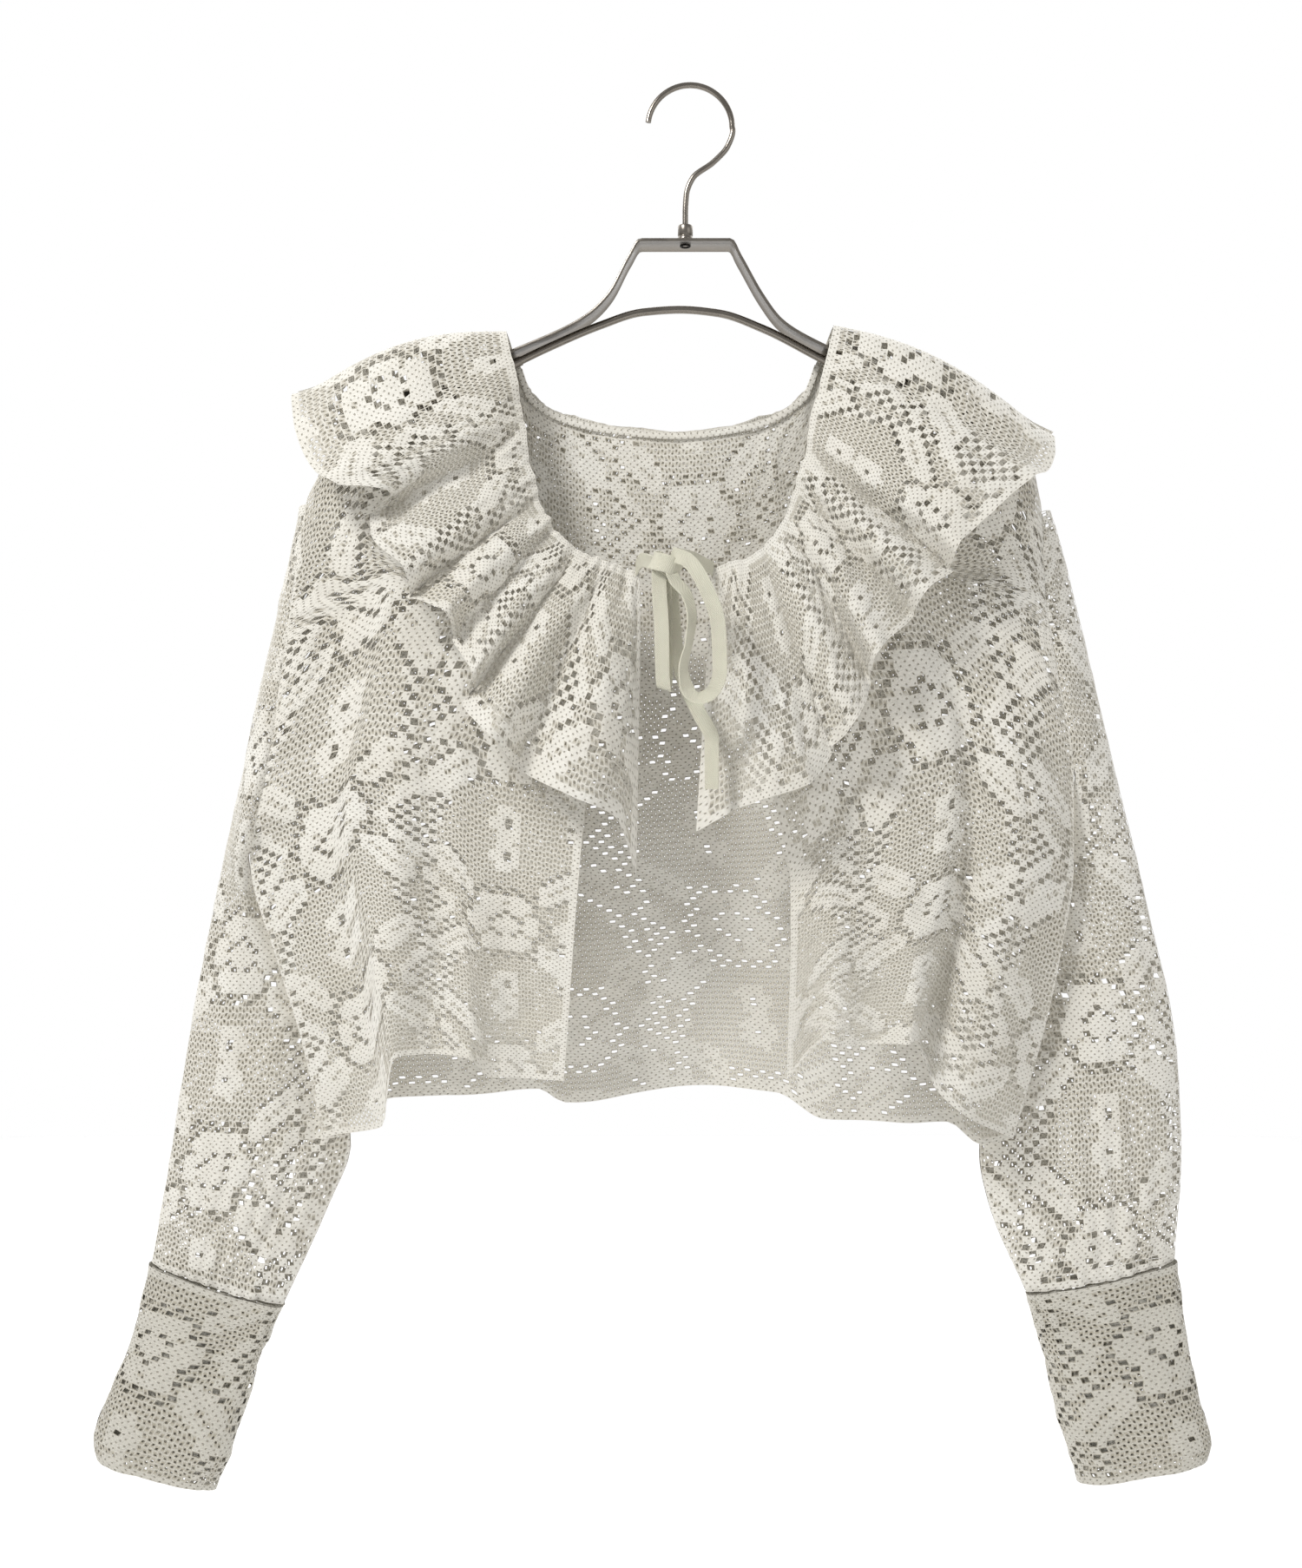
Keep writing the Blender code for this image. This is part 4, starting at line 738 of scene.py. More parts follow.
def lattice(surface, start=(0.0, 0.0), facing=-1, gathered=False, lift=0.0, creases=(), relief=0.4,
            ruffle=0.0, hems=(1, 1, 1, 1), closer=1.0):
    """Points, faces, flat places, flat area and hole rims of one sheet of lace over a sampled surface.

    start moves the pattern. gathered keeps one count of squares in every row; otherwise the
    squares keep their size and the sheet's far edge cuts through them. facing is -1 where its
    outside faces the front, 1 the back and 0 away from its middle. lift is how far it is moved
    out, relief how far clothwork stands proud, and ruffle how far the bottom edge waves. creases
    has rows of size, stretch down, height and seed. hems is how many solid squares there are at
    the near, far, top and bottom edges, and closer how wide the holes are against the usual ones.
    """
    start = (round(start[0] / STEP_ACROSS / 2) * STEP_ACROSS * 2, round(start[1] / STEP_DOWN) * STEP_DOWN)
    down = max(int(round(surface.length / STEP_DOWN)), 4)
    v = np.arange(down + 1) / down
    width = np.interp(v, surface.vs, surface.width)
    across = int(math.ceil(width.max() / STEP_ACROSS / 2)) * 2
    kk, vv = np.meshgrid(np.arange(across + 1.0), v)
    slant = np.where(np.arange(down + 1) % 2, SLANT, -SLANT)[:, None] * ((kk > 0) & (kk < across))
    if gathered:
        uu = (kk + slant) / across
    else:
        uu = np.clip((kk + slant) * STEP_ACROSS / np.maximum(width, 0.01)[:, None], 0, 1)
    # thread never lies quite even
    loose = np.random.default_rng(across * 1000 + down).uniform(-1, 1, (2,) + kk.shape)
    inside = (uu > 0.001) & (uu < 0.999)
    uu = np.clip(uu + inside * UNEVEN * loose[0] / np.maximum(width, 1)[:, None], 0, 1)
    vv = np.clip(vv + UNEVEN * loose[1] * (vv > 0) * (vv < 1) / surface.length, 0, 1)
    place = surface.at(uu, vv)
    flat_x = kk * STEP_ACROSS + start[0]
    flat_y = np.arange(down + 1)[:, None] * STEP_DOWN + start[1] + 0 * kk
    normal, out = surface.outward(uu, vv, place, facing)

    whole = uu[:, 1:] - uu[:, :-1]
    share = np.minimum(whole[:-1], whole[1:]) * np.minimum(width[:-1], width[1:])[:, None]
    kind = charted(width, share, start, gathered, hems)

    solid = np.pad((kind == CLOTH).astype(float), 1, mode="edge")
    proud = (solid[:-1, :-1] + solid[1:, :-1] + solid[:-1, 1:] + solid[1:, 1:]) / 4
    height = lift + relief * (proud - 0.5)
    edge = ramp(np.minimum(np.minimum(uu, 1 - uu) * width[:, None], EDGE_CALM) / EDGE_CALM)
    for size, stretch, high, seed in creases:
        height = height + high * edge * crumple(flat_x, flat_y / stretch, size, seed)
        height = height + 0.5 * high * edge * crumple(flat_x * 1.9, flat_y * 1.3, size, seed + 1)
    height = height + ruffle * vv ** 3 * crumple(flat_x, 0 * flat_y, RUFFLE_SIZE, RUFFLE_SEED)
    place = place + normal * height[..., None]

    points = [place.reshape(-1, 3)]
    flats = [np.stack([flat_x, flat_y], axis=2).reshape(-1, 2)]
    index = np.arange((down + 1) * (across + 1)).reshape(down + 1, across + 1)
    kept = (whole[:-1] > 1e-6) | (whole[1:] > 1e-6)
    cols = np.indices(kind.shape)[1]
    count = index.size

    def around(j, i):
        return (j, i), (j, i + 1), (j + 1, i + 1), (j + 1, i)

    def spots(j, i, a, b):
        """Places at a across and b down inside each of some half squares, sunk a little."""
        weights = ((1 - a) * (1 - b), a * (1 - b), a * b, (1 - a) * b)
        found = sum(w * place[c] for w, c in zip(weights, around(j, i))) - normal[j, i] * HOLE_SUNK
        return found, sum(w * np.stack([flat_x[c], flat_y[c]], axis=1)
                          for w, c in zip(weights, around(j, i)))

    corners = [index[c] for c in around(*np.nonzero((kind == CLOTH) & kept))]
    faces = [np.stack(corners, axis=1)]
    solid_share = len(corners[0])
    near, far, top, bottom = narrowed(OPEN_HOLE, closer)
    # what is holed, which half of a square, the hole's edges, and the sides that thread closes
    holes = ((NET, 0, narrowed(NET_HIGH, closer), (0, 1, 2, 3)),
             (NET, 1, narrowed(NET_LOW, closer), (0, 1, 2, 3)),
             (OPEN, 0, (near, 1.0, top, bottom), (0, 2, 3)),
             (OPEN, 1, (0.0, far, top, bottom), (0, 2, 1)))
    for what, half, (a0, a1, b0, b1), sides in holes:
        j, i = np.nonzero((kind == what) & (cols % 2 == half) & kept)
        corners = [index[c] for c in around(j, i)]
        inner = []
        for a, b in ((a0, b0), (a1, b0), (a1, b1), (a0, b1)):
            found, flat = spots(j, i, a, b)
            points.append(found)
            flats.append(flat)
            inner.append(count + np.arange(len(j)))
            count += len(j)
        for n in sides:
            m = (n + 1) % 4
            faces.append(np.stack([corners[n], corners[m], inner[m], inner[n]], axis=1))
        solid_share += len(j) * (1 - (a1 - a0) * (b1 - b0))
    faces = np.concatenate(faces)
    if out < 0:
        faces = faces[:, ::-1]
    squares = across * down * STEP_ACROSS * STEP_DOWN
    scale = surface.width.mean() * surface.length / max(squares, 1) if gathered else 1
    area = solid_share * STEP_ACROSS * STEP_DOWN * scale
    points = np.concatenate(points)
    rims = (np.arange(len(points)) >= index.size).astype(float)
    return points, faces, np.concatenate(flats), area, rims


def cloth_object(name, sheets, made_of):
    """One object from the sheets of a piece, with the flat places in mm kept as its UV map."""
    starts = np.cumsum([0] + [len(sheet[0]) for sheet in sheets])
    points = np.concatenate([sheet[0] for sheet in sheets])
    faces = np.concatenate([sheet[1] + start for sheet, start in zip(sheets, starts)])
    flats = np.concatenate([sheet[2] for sheet in sheets])
    rims = np.concatenate([sheet[4] for sheet in sheets])
    mesh = bpy.data.meshes.new(name)
    mesh.vertices.add(len(points))
    mesh.vertices.foreach_set("co", (points * MM).astype(np.float32).ravel())
    mesh.loops.add(faces.size)
    mesh.loops.foreach_set("vertex_index", faces.astype(np.int32).ravel())
    mesh.polygons.add(len(faces))
    mesh.polygons.foreach_set("loop_start", np.arange(0, faces.size, 4, dtype=np.int32))
    uv = mesh.uv_layers.new(name="flat_mm")
    uv.data.foreach_set("uv", flats[faces.ravel()].astype(np.float32).ravel())
    # hole_rim marks the points round each hole, where the lace material paints shade
    rim = mesh.attributes.new(name="hole_rim", type="FLOAT", domain="POINT")
    rim.data.foreach_set("value", rims.astype(np.float32))
    mesh.update(calc_edges=True)
    mesh.validate()
    mesh.shade_smooth()
    return placed(name, mesh, made_of)


def placed(name, mesh, made_of):
    """A mesh as an object in the scene, in one material."""
    mesh.materials.append(made_of)
    made = bpy.data.objects.new(name, mesh)
    bpy.context.scene.collection.objects.link(made)
    return made


# materials


def linear(text):
    """An sRGB hex colour as linear RGBA."""
    text = text.lstrip("#")
    parts = [int(text[k:k + 2], 16) / 255 for k in (0, 2, 4)]
    return (*[c / 12.92 if c <= 0.04045 else ((c + 0.055) / 1.055) ** 2.4 for c in parts], 1.0)


def darker(colour, share):
    """A linear colour at a share of its strength."""
    return (*[c * share for c in colour[:3]], 1)


def hexed(rgb):
    """A display-space colour property as an sRGB hex."""
    return "#%02X%02X%02X" % tuple(int(round(c * 255)) for c in rgb)


def every(size):
    """The scale of a pattern whose grains are size mm apart, over places in metres."""
    return 1 / (size * MM)


def feed(tree, made, inputs):
    """Gives sockets their values, or links them to the outputs that feed them."""
    for socket, value in inputs.items():
        if isinstance(value, bpy.types.NodeSocket):
            tree.links.new(value, made.inputs[socket])
        else:
            made.inputs[socket].default_value = value


def node(tree, kind, inputs=None, **settings):
    """The outputs of one new node with these settings and inputs."""
    made = tree.nodes.new("ShaderNode" + kind)
    for name, value in settings.items():
        setattr(made, name, value)
    feed(tree, made, inputs or {})
    return made.outputs


def new_material(name):
    """A new material, its tree, its shader, and the place in metres of the point that is shaded."""
    made = bpy.data.materials.new(name)
    made.use_nodes = True
    tree = made.node_tree
    return made, tree, tree.nodes["Principled BSDF"], node(tree, "TexCoord")["Object"]


def lace_cotton(name, light, shade, painted_hole_shade, bulk=1.0):
    """Soft cotton lace: rows of fuzzy thread, a small stitch dip in each step, patchy tint and painted shade.
    """
    made, tree, shader, place = new_material(name)
    flat = node(tree, "UVMap", uv_map="flat_mm")[0]
    split = node(tree, "SeparateXYZ", {0: flat})
    # ridges of thread, two to each step down, wandering a little
    wander = node(tree, "TexNoise", {"Vector": flat, "Scale": 1 / WANDER, "Detail": 2.0})[0]
    row = node(tree, "Math", {0: wander, 1: WANDER_BY, 2: split["Y"]}, operation="MULTIPLY_ADD")[0]
    wave = node(tree, "Math", {0: row, 1: 2 * math.pi / STEP_DOWN}, operation="MULTIPLY")[0]
    wave = node(tree, "Math", {0: wave}, operation="SINE")[0]
    ridge = node(tree, "Math", {0: wave}, operation="ABSOLUTE")[0]
    # a small stitch dip in each step, staggered as the net's holes are, darkened with painted shade
    both = 1.0
    for axis, middle, turn in (("X", STEP_ACROSS / 2, math.pi / STEP_ACROSS),
                               ("Y", STEP_DOWN * (NET_HIGH[2] + NET_HIGH[3]) / 2, 2 * math.pi / STEP_DOWN)):
        away = node(tree, "Math", {0: split[axis], 1: turn, 2: -middle * turn}, operation="MULTIPLY_ADD")[0]
        wave = node(tree, "Math", {0: away}, operation="COSINE")[0]
        both = node(tree, "Math", {0: wave, 1: both}, operation="MULTIPLY")[0]
    stitch = node(tree, "MapRange", {0: both, 1: 0.66, 2: 0.93}, interpolation_type="SMOOTHSTEP")[0]
    rim = node(tree, "Attribute", attribute_name="hole_rim", attribute_type="GEOMETRY")["Fac"]
    fuzz = node(tree, "TexNoise", {"Vector": place, "Scale": every(FUZZ), "Detail": 4.0,
                                   "Roughness": 0.65})[0]
    yarn = node(tree, "TexNoise", {"Vector": place, "Scale": every(YARN), "Detail": 2.0})[0]
    height = 0.0
    for part, share in ((fuzz, 0.45), (yarn, 0.7), (ridge, 0.12), (stitch, -0.9)):
        height = node(tree, "Math", {0: part, 1: share, 2: height}, operation="MULTIPLY_ADD")[0]
    bump = node(tree, "Bump", {"Strength": 0.9, "Distance": THREAD_DEPTH * MM * bulk, "Height": height})[0]
    patches = node(tree, "TexNoise", {"Vector": place, "Scale": every(PATCH), "Detail": 3.0})[0]
    tint = node(tree, "Mix", {0: patches, 6: linear(shade), 7: linear(light)}, data_type="RGBA")[2]
    # painted shade where the thread turns into each hole: warmer and darker at rims, stitches and low yarn
    shadow = 0.20
    for part, share in ((stitch, 0.62), (rim, 0.70), (yarn, -0.20)):
        shadow = node(tree, "Math", {0: part, 1: share, 2: shadow}, operation="MULTIPLY_ADD")[0]
    colour = node(tree, "Mix", {0: shadow, 6: tint, 7: linear(painted_hole_shade)}, data_type="RGBA")[2]
    feed(tree, shader, {"Base Color": colour, "Normal": bump, "Roughness": 0.92, "Specular IOR Level": 0.2,
                        "Sheen Weight": 0.25, "Sheen Roughness": 0.6})
    return made


def cotton():
    """The one cotton lace of the body, made when it is first asked for."""
    s = bpy.context.scene.cardigan
    return bpy.data.materials.get("cotton_lace") or lace_cotton(
        "cotton_lace", hexed(s.lace), hexed(s.lace_shade), hexed(s.painted_hole_shade))


def twill_tape(name, colour):
    """Narrow twill tape: fine slanting ribs and a little fuzz, duller where it was handled."""
    made, tree, shader, place = new_material(name)
    flat = node(tree, "UVMap", uv_map="flat_mm")[0]
    split = node(tree, "SeparateXYZ", {0: flat})
    slant = node(tree, "Math", {0: split["X"], 1: 0.8, 2: split["Y"]}, operation="MULTIPLY_ADD")[0]
    wave = node(tree, "Math", {0: slant, 1: 2 * math.pi / RIB}, operation="MULTIPLY")[0]
    rib = node(tree, "Math", {0: wave}, operation="SINE")[0]
    fuzz = node(tree, "TexNoise", {"Vector": place, "Scale": every(TAPE_FUZZ), "Detail": 3.0})[0]
    height = node(tree, "Math", {0: rib, 1: 0.5, 2: fuzz}, operation="MULTIPLY_ADD")[0]
    bump = node(tree, "Bump", {"Strength": 0.9, "Distance": RIB_DEPTH * MM, "Height": height})[0]
    soil = node(tree, "TexNoise", {"Vector": place, "Scale": every(SOIL), "Detail": 2.0})[0]
    rgb = linear(colour)
    tint = node(tree, "Mix", {0: soil, 6: darker(rgb, 0.80), 7: rgb}, data_type="RGBA")[2]
    feed(tree, shader, {"Base Color": tint, "Normal": bump, "Roughness": 0.8, "Sheen Weight": 0.15})
    return made


def brushed_nickel(name, colour, rough):
    """Nickel plated steel, brushed along its length, with faint handling marks in its shine."""
    made, tree, shader, place = new_material(name)
    stretched = node(tree, "Mapping", {"Vector": place, "Scale": [every(size) for size in BRUSHED]})[0]
    brush = node(tree, "TexNoise", {"Vector": stretched, "Scale": 1.0, "Detail": 4.0})[0]
    marks = node(tree, "TexNoise", {"Vector": place, "Scale": every(MARKS), "Detail": 5.0})[0]
    bump = node(tree, "Bump", {"Strength": 0.10, "Distance": BRUSH_DEPTH * MM, "Height": brush})[0]
    both = node(tree, "Math", {0: brush, 1: marks}, operation="ADD")[0]
    uneven = node(tree, "MapRange", {0: both, 1: 0.6, 2: 1.4, 3: rough - 0.08, 4: rough + 0.14})[0]
    rgb = linear(colour)
    tint = node(tree, "Mix", {0: marks, 6: darker(rgb, 0.78), 7: rgb}, data_type="RGBA")[2]
    feed(tree, shader, {"Base Color": tint, "Normal": bump, "Roughness": uneven, "Metallic": 1.0})
    return made


def plain_floor(name, colour):
    """Matt painted studio floor with a faint roller texture."""
    made, tree, shader, place = new_material(name)
    grain = node(tree, "TexNoise", {"Vector": place, "Scale": every(ROLLER), "Detail": 3.0})[0]
    bump = node(tree, "Bump", {"Strength": 0.05, "Distance": ROLLER_DEPTH * MM, "Height": grain})[0]
    feed(tree, shader, {"Base Color": linear(colour), "Normal": bump, "Roughness": 0.9})
    return made


# pieces


def shown(made, nodes):
    """Puts a finished piece in place of CAD nodes and lets it ride with the one body."""
    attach(made, "root")
    if nodes:
        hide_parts(*nodes)
    return made


def shape(name, points, faces, flats, made_of, smooth=True):
    """A mesh object from mm points, with its flat places in mm as the UV map."""
    mesh = bpy.data.meshes.new(name)
    mesh.from_pydata([tuple(float(c) * MM for c in p) for p in points], [], faces)
    uv = mesh.uv_layers.new(name="flat_mm")
    for loop in mesh.loops:
        uv.data[loop.index].uv = flats[loop.vertex_index]
    mesh.validate()
    if smooth:
        mesh.shade_smooth()
        mesh.set_sharp_from_angle(angle=math.radians(50))
    return placed(name, mesh, made_of)


def swept(name, points, section, made_of, steps, across=None, lean=((0, 0), (1, 0))):
    """A section, as rows of aside and out in mm, carried along points. Aside lies along across.

    lean has rows of the share of the way and how far the section is turned there, in degrees.
    """
    run = path(by_length(points))
    whole = run_length(points)
    spots, flats, faces = [], [], []
    turned = None
    for t in np.linspace(0, 1, steps):
        ahead = run(min(t + 0.004, 1)) - run(max(t - 0.004, 0))
        side = np.array(across, float) if across is not None else np.array([-ahead[2], 0, ahead[0]])
        flat = side - ahead * np.dot(side, ahead) / np.dot(ahead, ahead)
        flat /= max(np.linalg.norm(flat), 1e-9)
        if turned is not None and np.dot(flat, turned) < 0:
            flat = -flat
        turned = flat
        n = np.cross(ahead, flat)
        n /= np.linalg.norm(n)
        turn = math.radians(np.interp(t, *zip(*lean)))
        flat, n = flat * math.cos(turn) + n * math.sin(turn), n * math.cos(turn) - flat * math.sin(turn)
        for aside, away in section:
            spots.append(run(t) + flat * aside + n * away)
            flats.append((aside, t * whole))
    size = len(section)
    for j in range(steps - 1):
        for k in range(size):
            a, b = j * size + k, j * size + (k + 1) % size
            faces.append((a, b, b + size, a + size))
    faces.append(tuple(range(size)))
    faces.append(tuple((steps - 1) * size + k for k in reversed(range(size))))
    return shape(name, spots, faces, flats, made_of)


def run_length(points):
    """How long a route is."""
    return float(np.linalg.norm(np.diff(np.array(points, float), axis=0), axis=1).sum())


def turned_piece(name, centre, rings, made_of, sides=32, closed=False):
    """A turned piece from rows of radius and height. closed joins its last ring to its first."""
    spots, flats, faces = [], [], []
    for radius, z in rings:
        for k in range(sides):
            a = 2 * math.pi * k / sides
            spots.append((centre[0] + radius * math.cos(a), centre[1] + radius * math.sin(a), centre[2] + z))
            flats.append((a * radius, z))
    for j in range(len(rings) if closed else len(rings) - 1):
        for k in range(sides):
            a, b = j * sides, ((j + 1) % len(rings)) * sides
            faces.append((a + k, a + (k + 1) % sides, b + (k + 1) % sides, b + k))
    return shape(name, spots, faces, flats, made_of)


def round_section(radius, sides=20):
    turns = np.linspace(0, 2 * math.pi, sides, endpoint=False)
    return [(radius * math.cos(a), radius * math.sin(a)) for a in turns]


def tape_section(width, thick):
    """A flat tape with square-cut, slightly thicker edges."""
    half, deep = width / 2, thick / 2
    upper = [(-half, deep * 0.8), (-half + 0.2, deep), (-half + 0.9, deep), (-half + 1.3, deep * 0.7),
             (half - 1.3, deep * 0.7), (half - 0.9, deep), (half - 0.2, deep), (half, deep * 0.8)]
    return upper + [(aside, -away) for aside, away in reversed(upper)]


def strap_section():
    """The strap's flat section, with a raised bead along both edges of its lower face."""
    half, thick = STRAP_DEPTH / 2, STRAP_THICK / 2
    return [(-half, -thick + 0.4), (-half + 0.15, -thick), (-half + 1.2, -thick),
            (-half + 1.6, -thick + 0.35), (half - 1.6, -thick + 0.35),
            (half - 1.2, -thick), (half - 0.15, -thick), (half, -thick + 0.4),
            (half, thick - 0.4), (half - 0.4, thick), (-half + 0.4, thick), (-half, thick - 0.4)]


def ferrule_rings():
    """The ferrule's outline, with a groove above its foot and a rounded top."""
    radius, bore, low, high = FERRULE
    return ((bore, low), (radius - 0.5, low), (radius, low + 0.5), (radius, low + 3.2),
            (radius - 0.35, low + 3.5), (radius - 0.35, low + 4.0), (radius, low + 4.3),
            (radius, high - 1.2), (radius - 0.4, high - 0.4), (radius - 1.4, high), (bore, high))


def bar(name, route, section, made_of, steps, nodes):
    """A bar of the hanger, carried along a route of x and z, in place of its CAD nodes."""
    made = swept(name, [(x, 0, z) for x, z in route], section, made_of, steps, across=(0, 1, 0))
    return shown(made, nodes)


def lace_piece(name, sheets, made_of):
    """One piece of lace in place of its CAD node."""
    made = cloth_object(name + "_lace", sheets, made_of)
    shown(made, [name])
    return made


def panel(s, name, held, start, seed, facing, large, small, rests_on=(), with_pieces=(), **more):
    """One sheet of cotton lace. large and small creases have size, stretch down and share of the height."""
    surface = surfaces()[name]
    creases = ((large[0], large[1], s.crease * large[2], seed),
               (small[0], small[1], s.crease * small[2], seed + SMALL_SEED))
    sheet = lattice(surface, start, facing=facing, relief=s.relief, creases=creases, **more)
    return lace_piece(name, [sheet], cotton())


def surfaces():
    """Every lace sheet's drape, sampled once a run and kept for the operators."""
    if KEPT:
        return KEPT
    front_left, front_right, back = body_maps()
    halves = {}
    for name, outer, inner, armhole, underarm in (
            ("left", SLEEVE_LEFT_OUTER, SLEEVE_LEFT_INNER, OUTER_LEFT, UNDERARM_LEFT),
            ("right", SLEEVE_RIGHT_OUTER, SLEEVE_RIGHT_INNER, OUTER_RIGHT, UNDERARM_RIGHT)):
        for half, side in (("front", -1), ("back", 1)):
            halves[name + "_" + half] = sleeve_map(outer, inner, armhole, underarm, side)
    under_front = Under([front_left, front_right, halves["left_front"], halves["right_front"]], -1)
    under_back = Under([back, halves["left_back"], halves["right_back"]], 1)
    KEPT["back_map"] = back
    KEPT["front_left"] = Sampled(front_left, 41, 81)
    KEPT["front_right"] = Sampled(front_right, 41, 81)
    KEPT["back"] = Sampled(back, 81, 81)
    for name, drape in halves.items():
        KEPT["sleeve_" + name] = Sampled(drape, 41, 61)
    for name, outer, inner in (("left", CUFF_LEFT_OUTER, CUFF_LEFT_INNER),
                               ("right", CUFF_RIGHT_OUTER, CUFF_RIGHT_INNER)):
        ring = cuff_map(outer, inner)
        KEPT["cuff_" + name] = Sampled(lambda u, v, ring=ring: ring(2 * math.pi * u, v), 73, 21)
    KEPT["collar_flounce_left"] = Sampled(flounce_map(FLOUNCE_LEFT, under_front), 101, 25)
    KEPT["collar_flounce_right"] = Sampled(flounce_map(FLOUNCE_RIGHT, under_front), 101, 25)
    KEPT["collar_flounce_back"] = Sampled(back_flounce_map(under_back), 141, 21)
    return KEPT


# What surfaces() has sampled, by node
KEPT = {}


def colour_property(name, description, default):
    """A colour that the panel shows as it looks on screen."""
    return bpy.props.FloatVectorProperty(name=name, description=description, subtype="COLOR_GAMMA",
                                         default=default, min=0, max=1)


class CardiganSizes(bpy.types.PropertyGroup):
    """Colours and sizes of the cardigan, its tie and its hanger."""
    lace: colour_property("Lace", "Cotton lace where it is cleanest", (0.915, 0.905, 0.878))
    lace_shade: colour_property("Lace shade", "Cotton lace where it has yellowed", (0.835, 0.815, 0.770))
    # darker than the body's lace: partly the doubled lace's own duller tone, partly painted shade for the
    # dimmer light low on the garment
    cuff: colour_property("Cuff lace", "Doubled lace of the cuffs, duller", (0.815, 0.800, 0.758))
    # painted shade: the warm dark colour that the lace is mixed toward round holes and at stitches
    painted_hole_shade: colour_property("Hollow", "Thread where it turns into a hole", (0.560, 0.525, 0.440))
    tape: colour_property("Tape", "Cream twill tape of the tie", (0.850, 0.840, 0.762))
    steel: colour_property("Steel", "Brushed nickel plating of the hanger", (0.53, 0.505, 0.475))
    floor: colour_property("Floor", "Pale studio floor", (0.99, 0.99, 0.99))
    relief: bpy.props.FloatProperty(
        name="Relief", description="How far clothwork stands proud of the net, in mm", default=0.4,
        min=0, max=1)
    crease: bpy.props.FloatProperty(
        name="Creases", description="Height of the soft creases, in mm", default=2.0, min=0, max=4)
    hang_distance: bpy.props.FloatProperty(
        name="Camera distance", description="From the camera to the garment's middle plane", default=1.06,
        min=0.5, max=4, subtype="DISTANCE", unit="LENGTH")


def finished(made):
    """Ends an operator, with an error when a piece wasn't made."""
    if not made:
        raise RuntimeError("nothing was made")
    return {"FINISHED"}


class CARDIGAN_OT_fronts(bpy.types.Operator):
    """Both front panels, each from the opening edge to its side seam"""
    bl_idname = "cardigan.fronts"
    bl_label = "Front panels"

    def execute(self, context):
        made = []
        for name, start, seed in (("front_left", (10, 30), 11), ("front_right", (70, 95), 12)):
            made.append(panel(context.scene.cardigan, name, "hung", start, seed, -1, (34, 2.5, 1),
                              (12, 0.8, 0.4), rests_on=["steel_strap"], hems=(1, 0, 1, 1)))
        return finished(made)


class CARDIGAN_OT_back(bpy.types.Operator):
    """The back panel, with the bound edge of the back neckline"""
    bl_idname = "cardigan.back"
    bl_label = "Back panel"

    def execute(self, context):
        back = surfaces()["back_map"]
        spots = [back(u, BINDING_DOWN) - np.array([0, BINDING_OUT, 0])
                 for u in np.linspace(NECK_FROM + BINDING_IN, NECK_TO - BINDING_IN, 60)]
        binding = swept("neck_edge", spots, BINDING_SECTION, cotton(), 110, across=(0, 0, 1))
        shown(binding, ["neck_binding"])
        return finished(panel(context.scene.cardigan, "back", "hung", (0, 10), 21, 1, (40, 2.0, 0.7),
                              (14, 0.8, 0.3), rests_on=["steel_strap"], with_pieces=[binding],
                              hems=(0, 0, 1, 1), closer=CLOSER))


class CARDIGAN_OT_sleeves(bpy.types.Operator):
    """The front and back half of each balloon sleeve"""
    bl_idname = "cardigan.sleeves"
    bl_label = "Sleeves"

    def execute(self, context):
        halves = (("sleeve_left_front", (20, 40), 31, -1), ("sleeve_left_back", (60, 100), 32, 1),
                  ("sleeve_right_front", (0, 0), 33, -1), ("sleeve_right_back", (90, 60), 34, 1))
        made = []
        for name, start, seed, facing in halves:
            made.append(panel(context.scene.cardigan, name, "hung", start, seed, facing, (24, 4.0, 1),
                              (11, 1.0, 0.35), hems=(0, 0, 0, 1)))
        return finished(made)


class CARDIGAN_OT_cuffs(bpy.types.Operator):
    """The long doubled cuffs, folded under at the wrist"""
    bl_idname = "cardigan.cuffs"
    bl_label = "Cuffs"

    def execute(self, context):
        s, made = context.scene.cardigan, []
        dull = [CUFF_DULL * c for c in s.cuff]
        # the cuffs' colour is partly their own duller tone, partly painted shade for the dimmer light low on
        # the garment
        doubled = lace_cotton("doubled_cotton_lace", hexed(s.cuff), hexed(dull), hexed(s.painted_hole_shade), bulk=1.6)
        for name, seed in (("cuff_left", 51), ("cuff_right", 52)):
            surface = surfaces()[name]
            creases = ((16, 1.0, 0.9, seed), (6, 1.0, 0.55, seed + 7))
            sheets = [lattice(surface, start, facing=0, gathered=True, lift=lift, relief=relief,
                              creases=creases, hems=(0, 0, 1, 1), closer=closer)
                      for start, lift, relief, closer in (((30, 20), CUFF_LACE / 2, 0.7, 0.8),
                                                          ((75, 64), -CUFF_LACE / 2, 0.3, 1.0))]
            made.append(lace_piece(name, sheets, doubled))
        return finished(made)


class CARDIGAN_OT_collar(bpy.types.Operator):
    """The deep collar flounce, over both fronts and round the back"""
    bl_idname = "cardigan.collar"
    bl_label = "Collar flounce"

    def execute(self, context):
        made = []
        for name, start, seed, facing, below in (("left", (15, 0), 71, -1, "front_left_lace"),
                                                 ("right", (50, 30), 72, -1, "front_right_lace"),
                                                 ("back", (0, 60), 73, 1, "back_lace")):
            made.append(panel(context.scene.cardigan, "collar_flounce_" + name, "gathered", start, seed,
                              facing, (22, 1.5, 0.8), (9, 1.0, 0.35), rests_on=[below], gathered=True,
                              lift=FLOUNCE_LIFT, ruffle=FLOUNCE_RUFFLE))
        return finished(made)


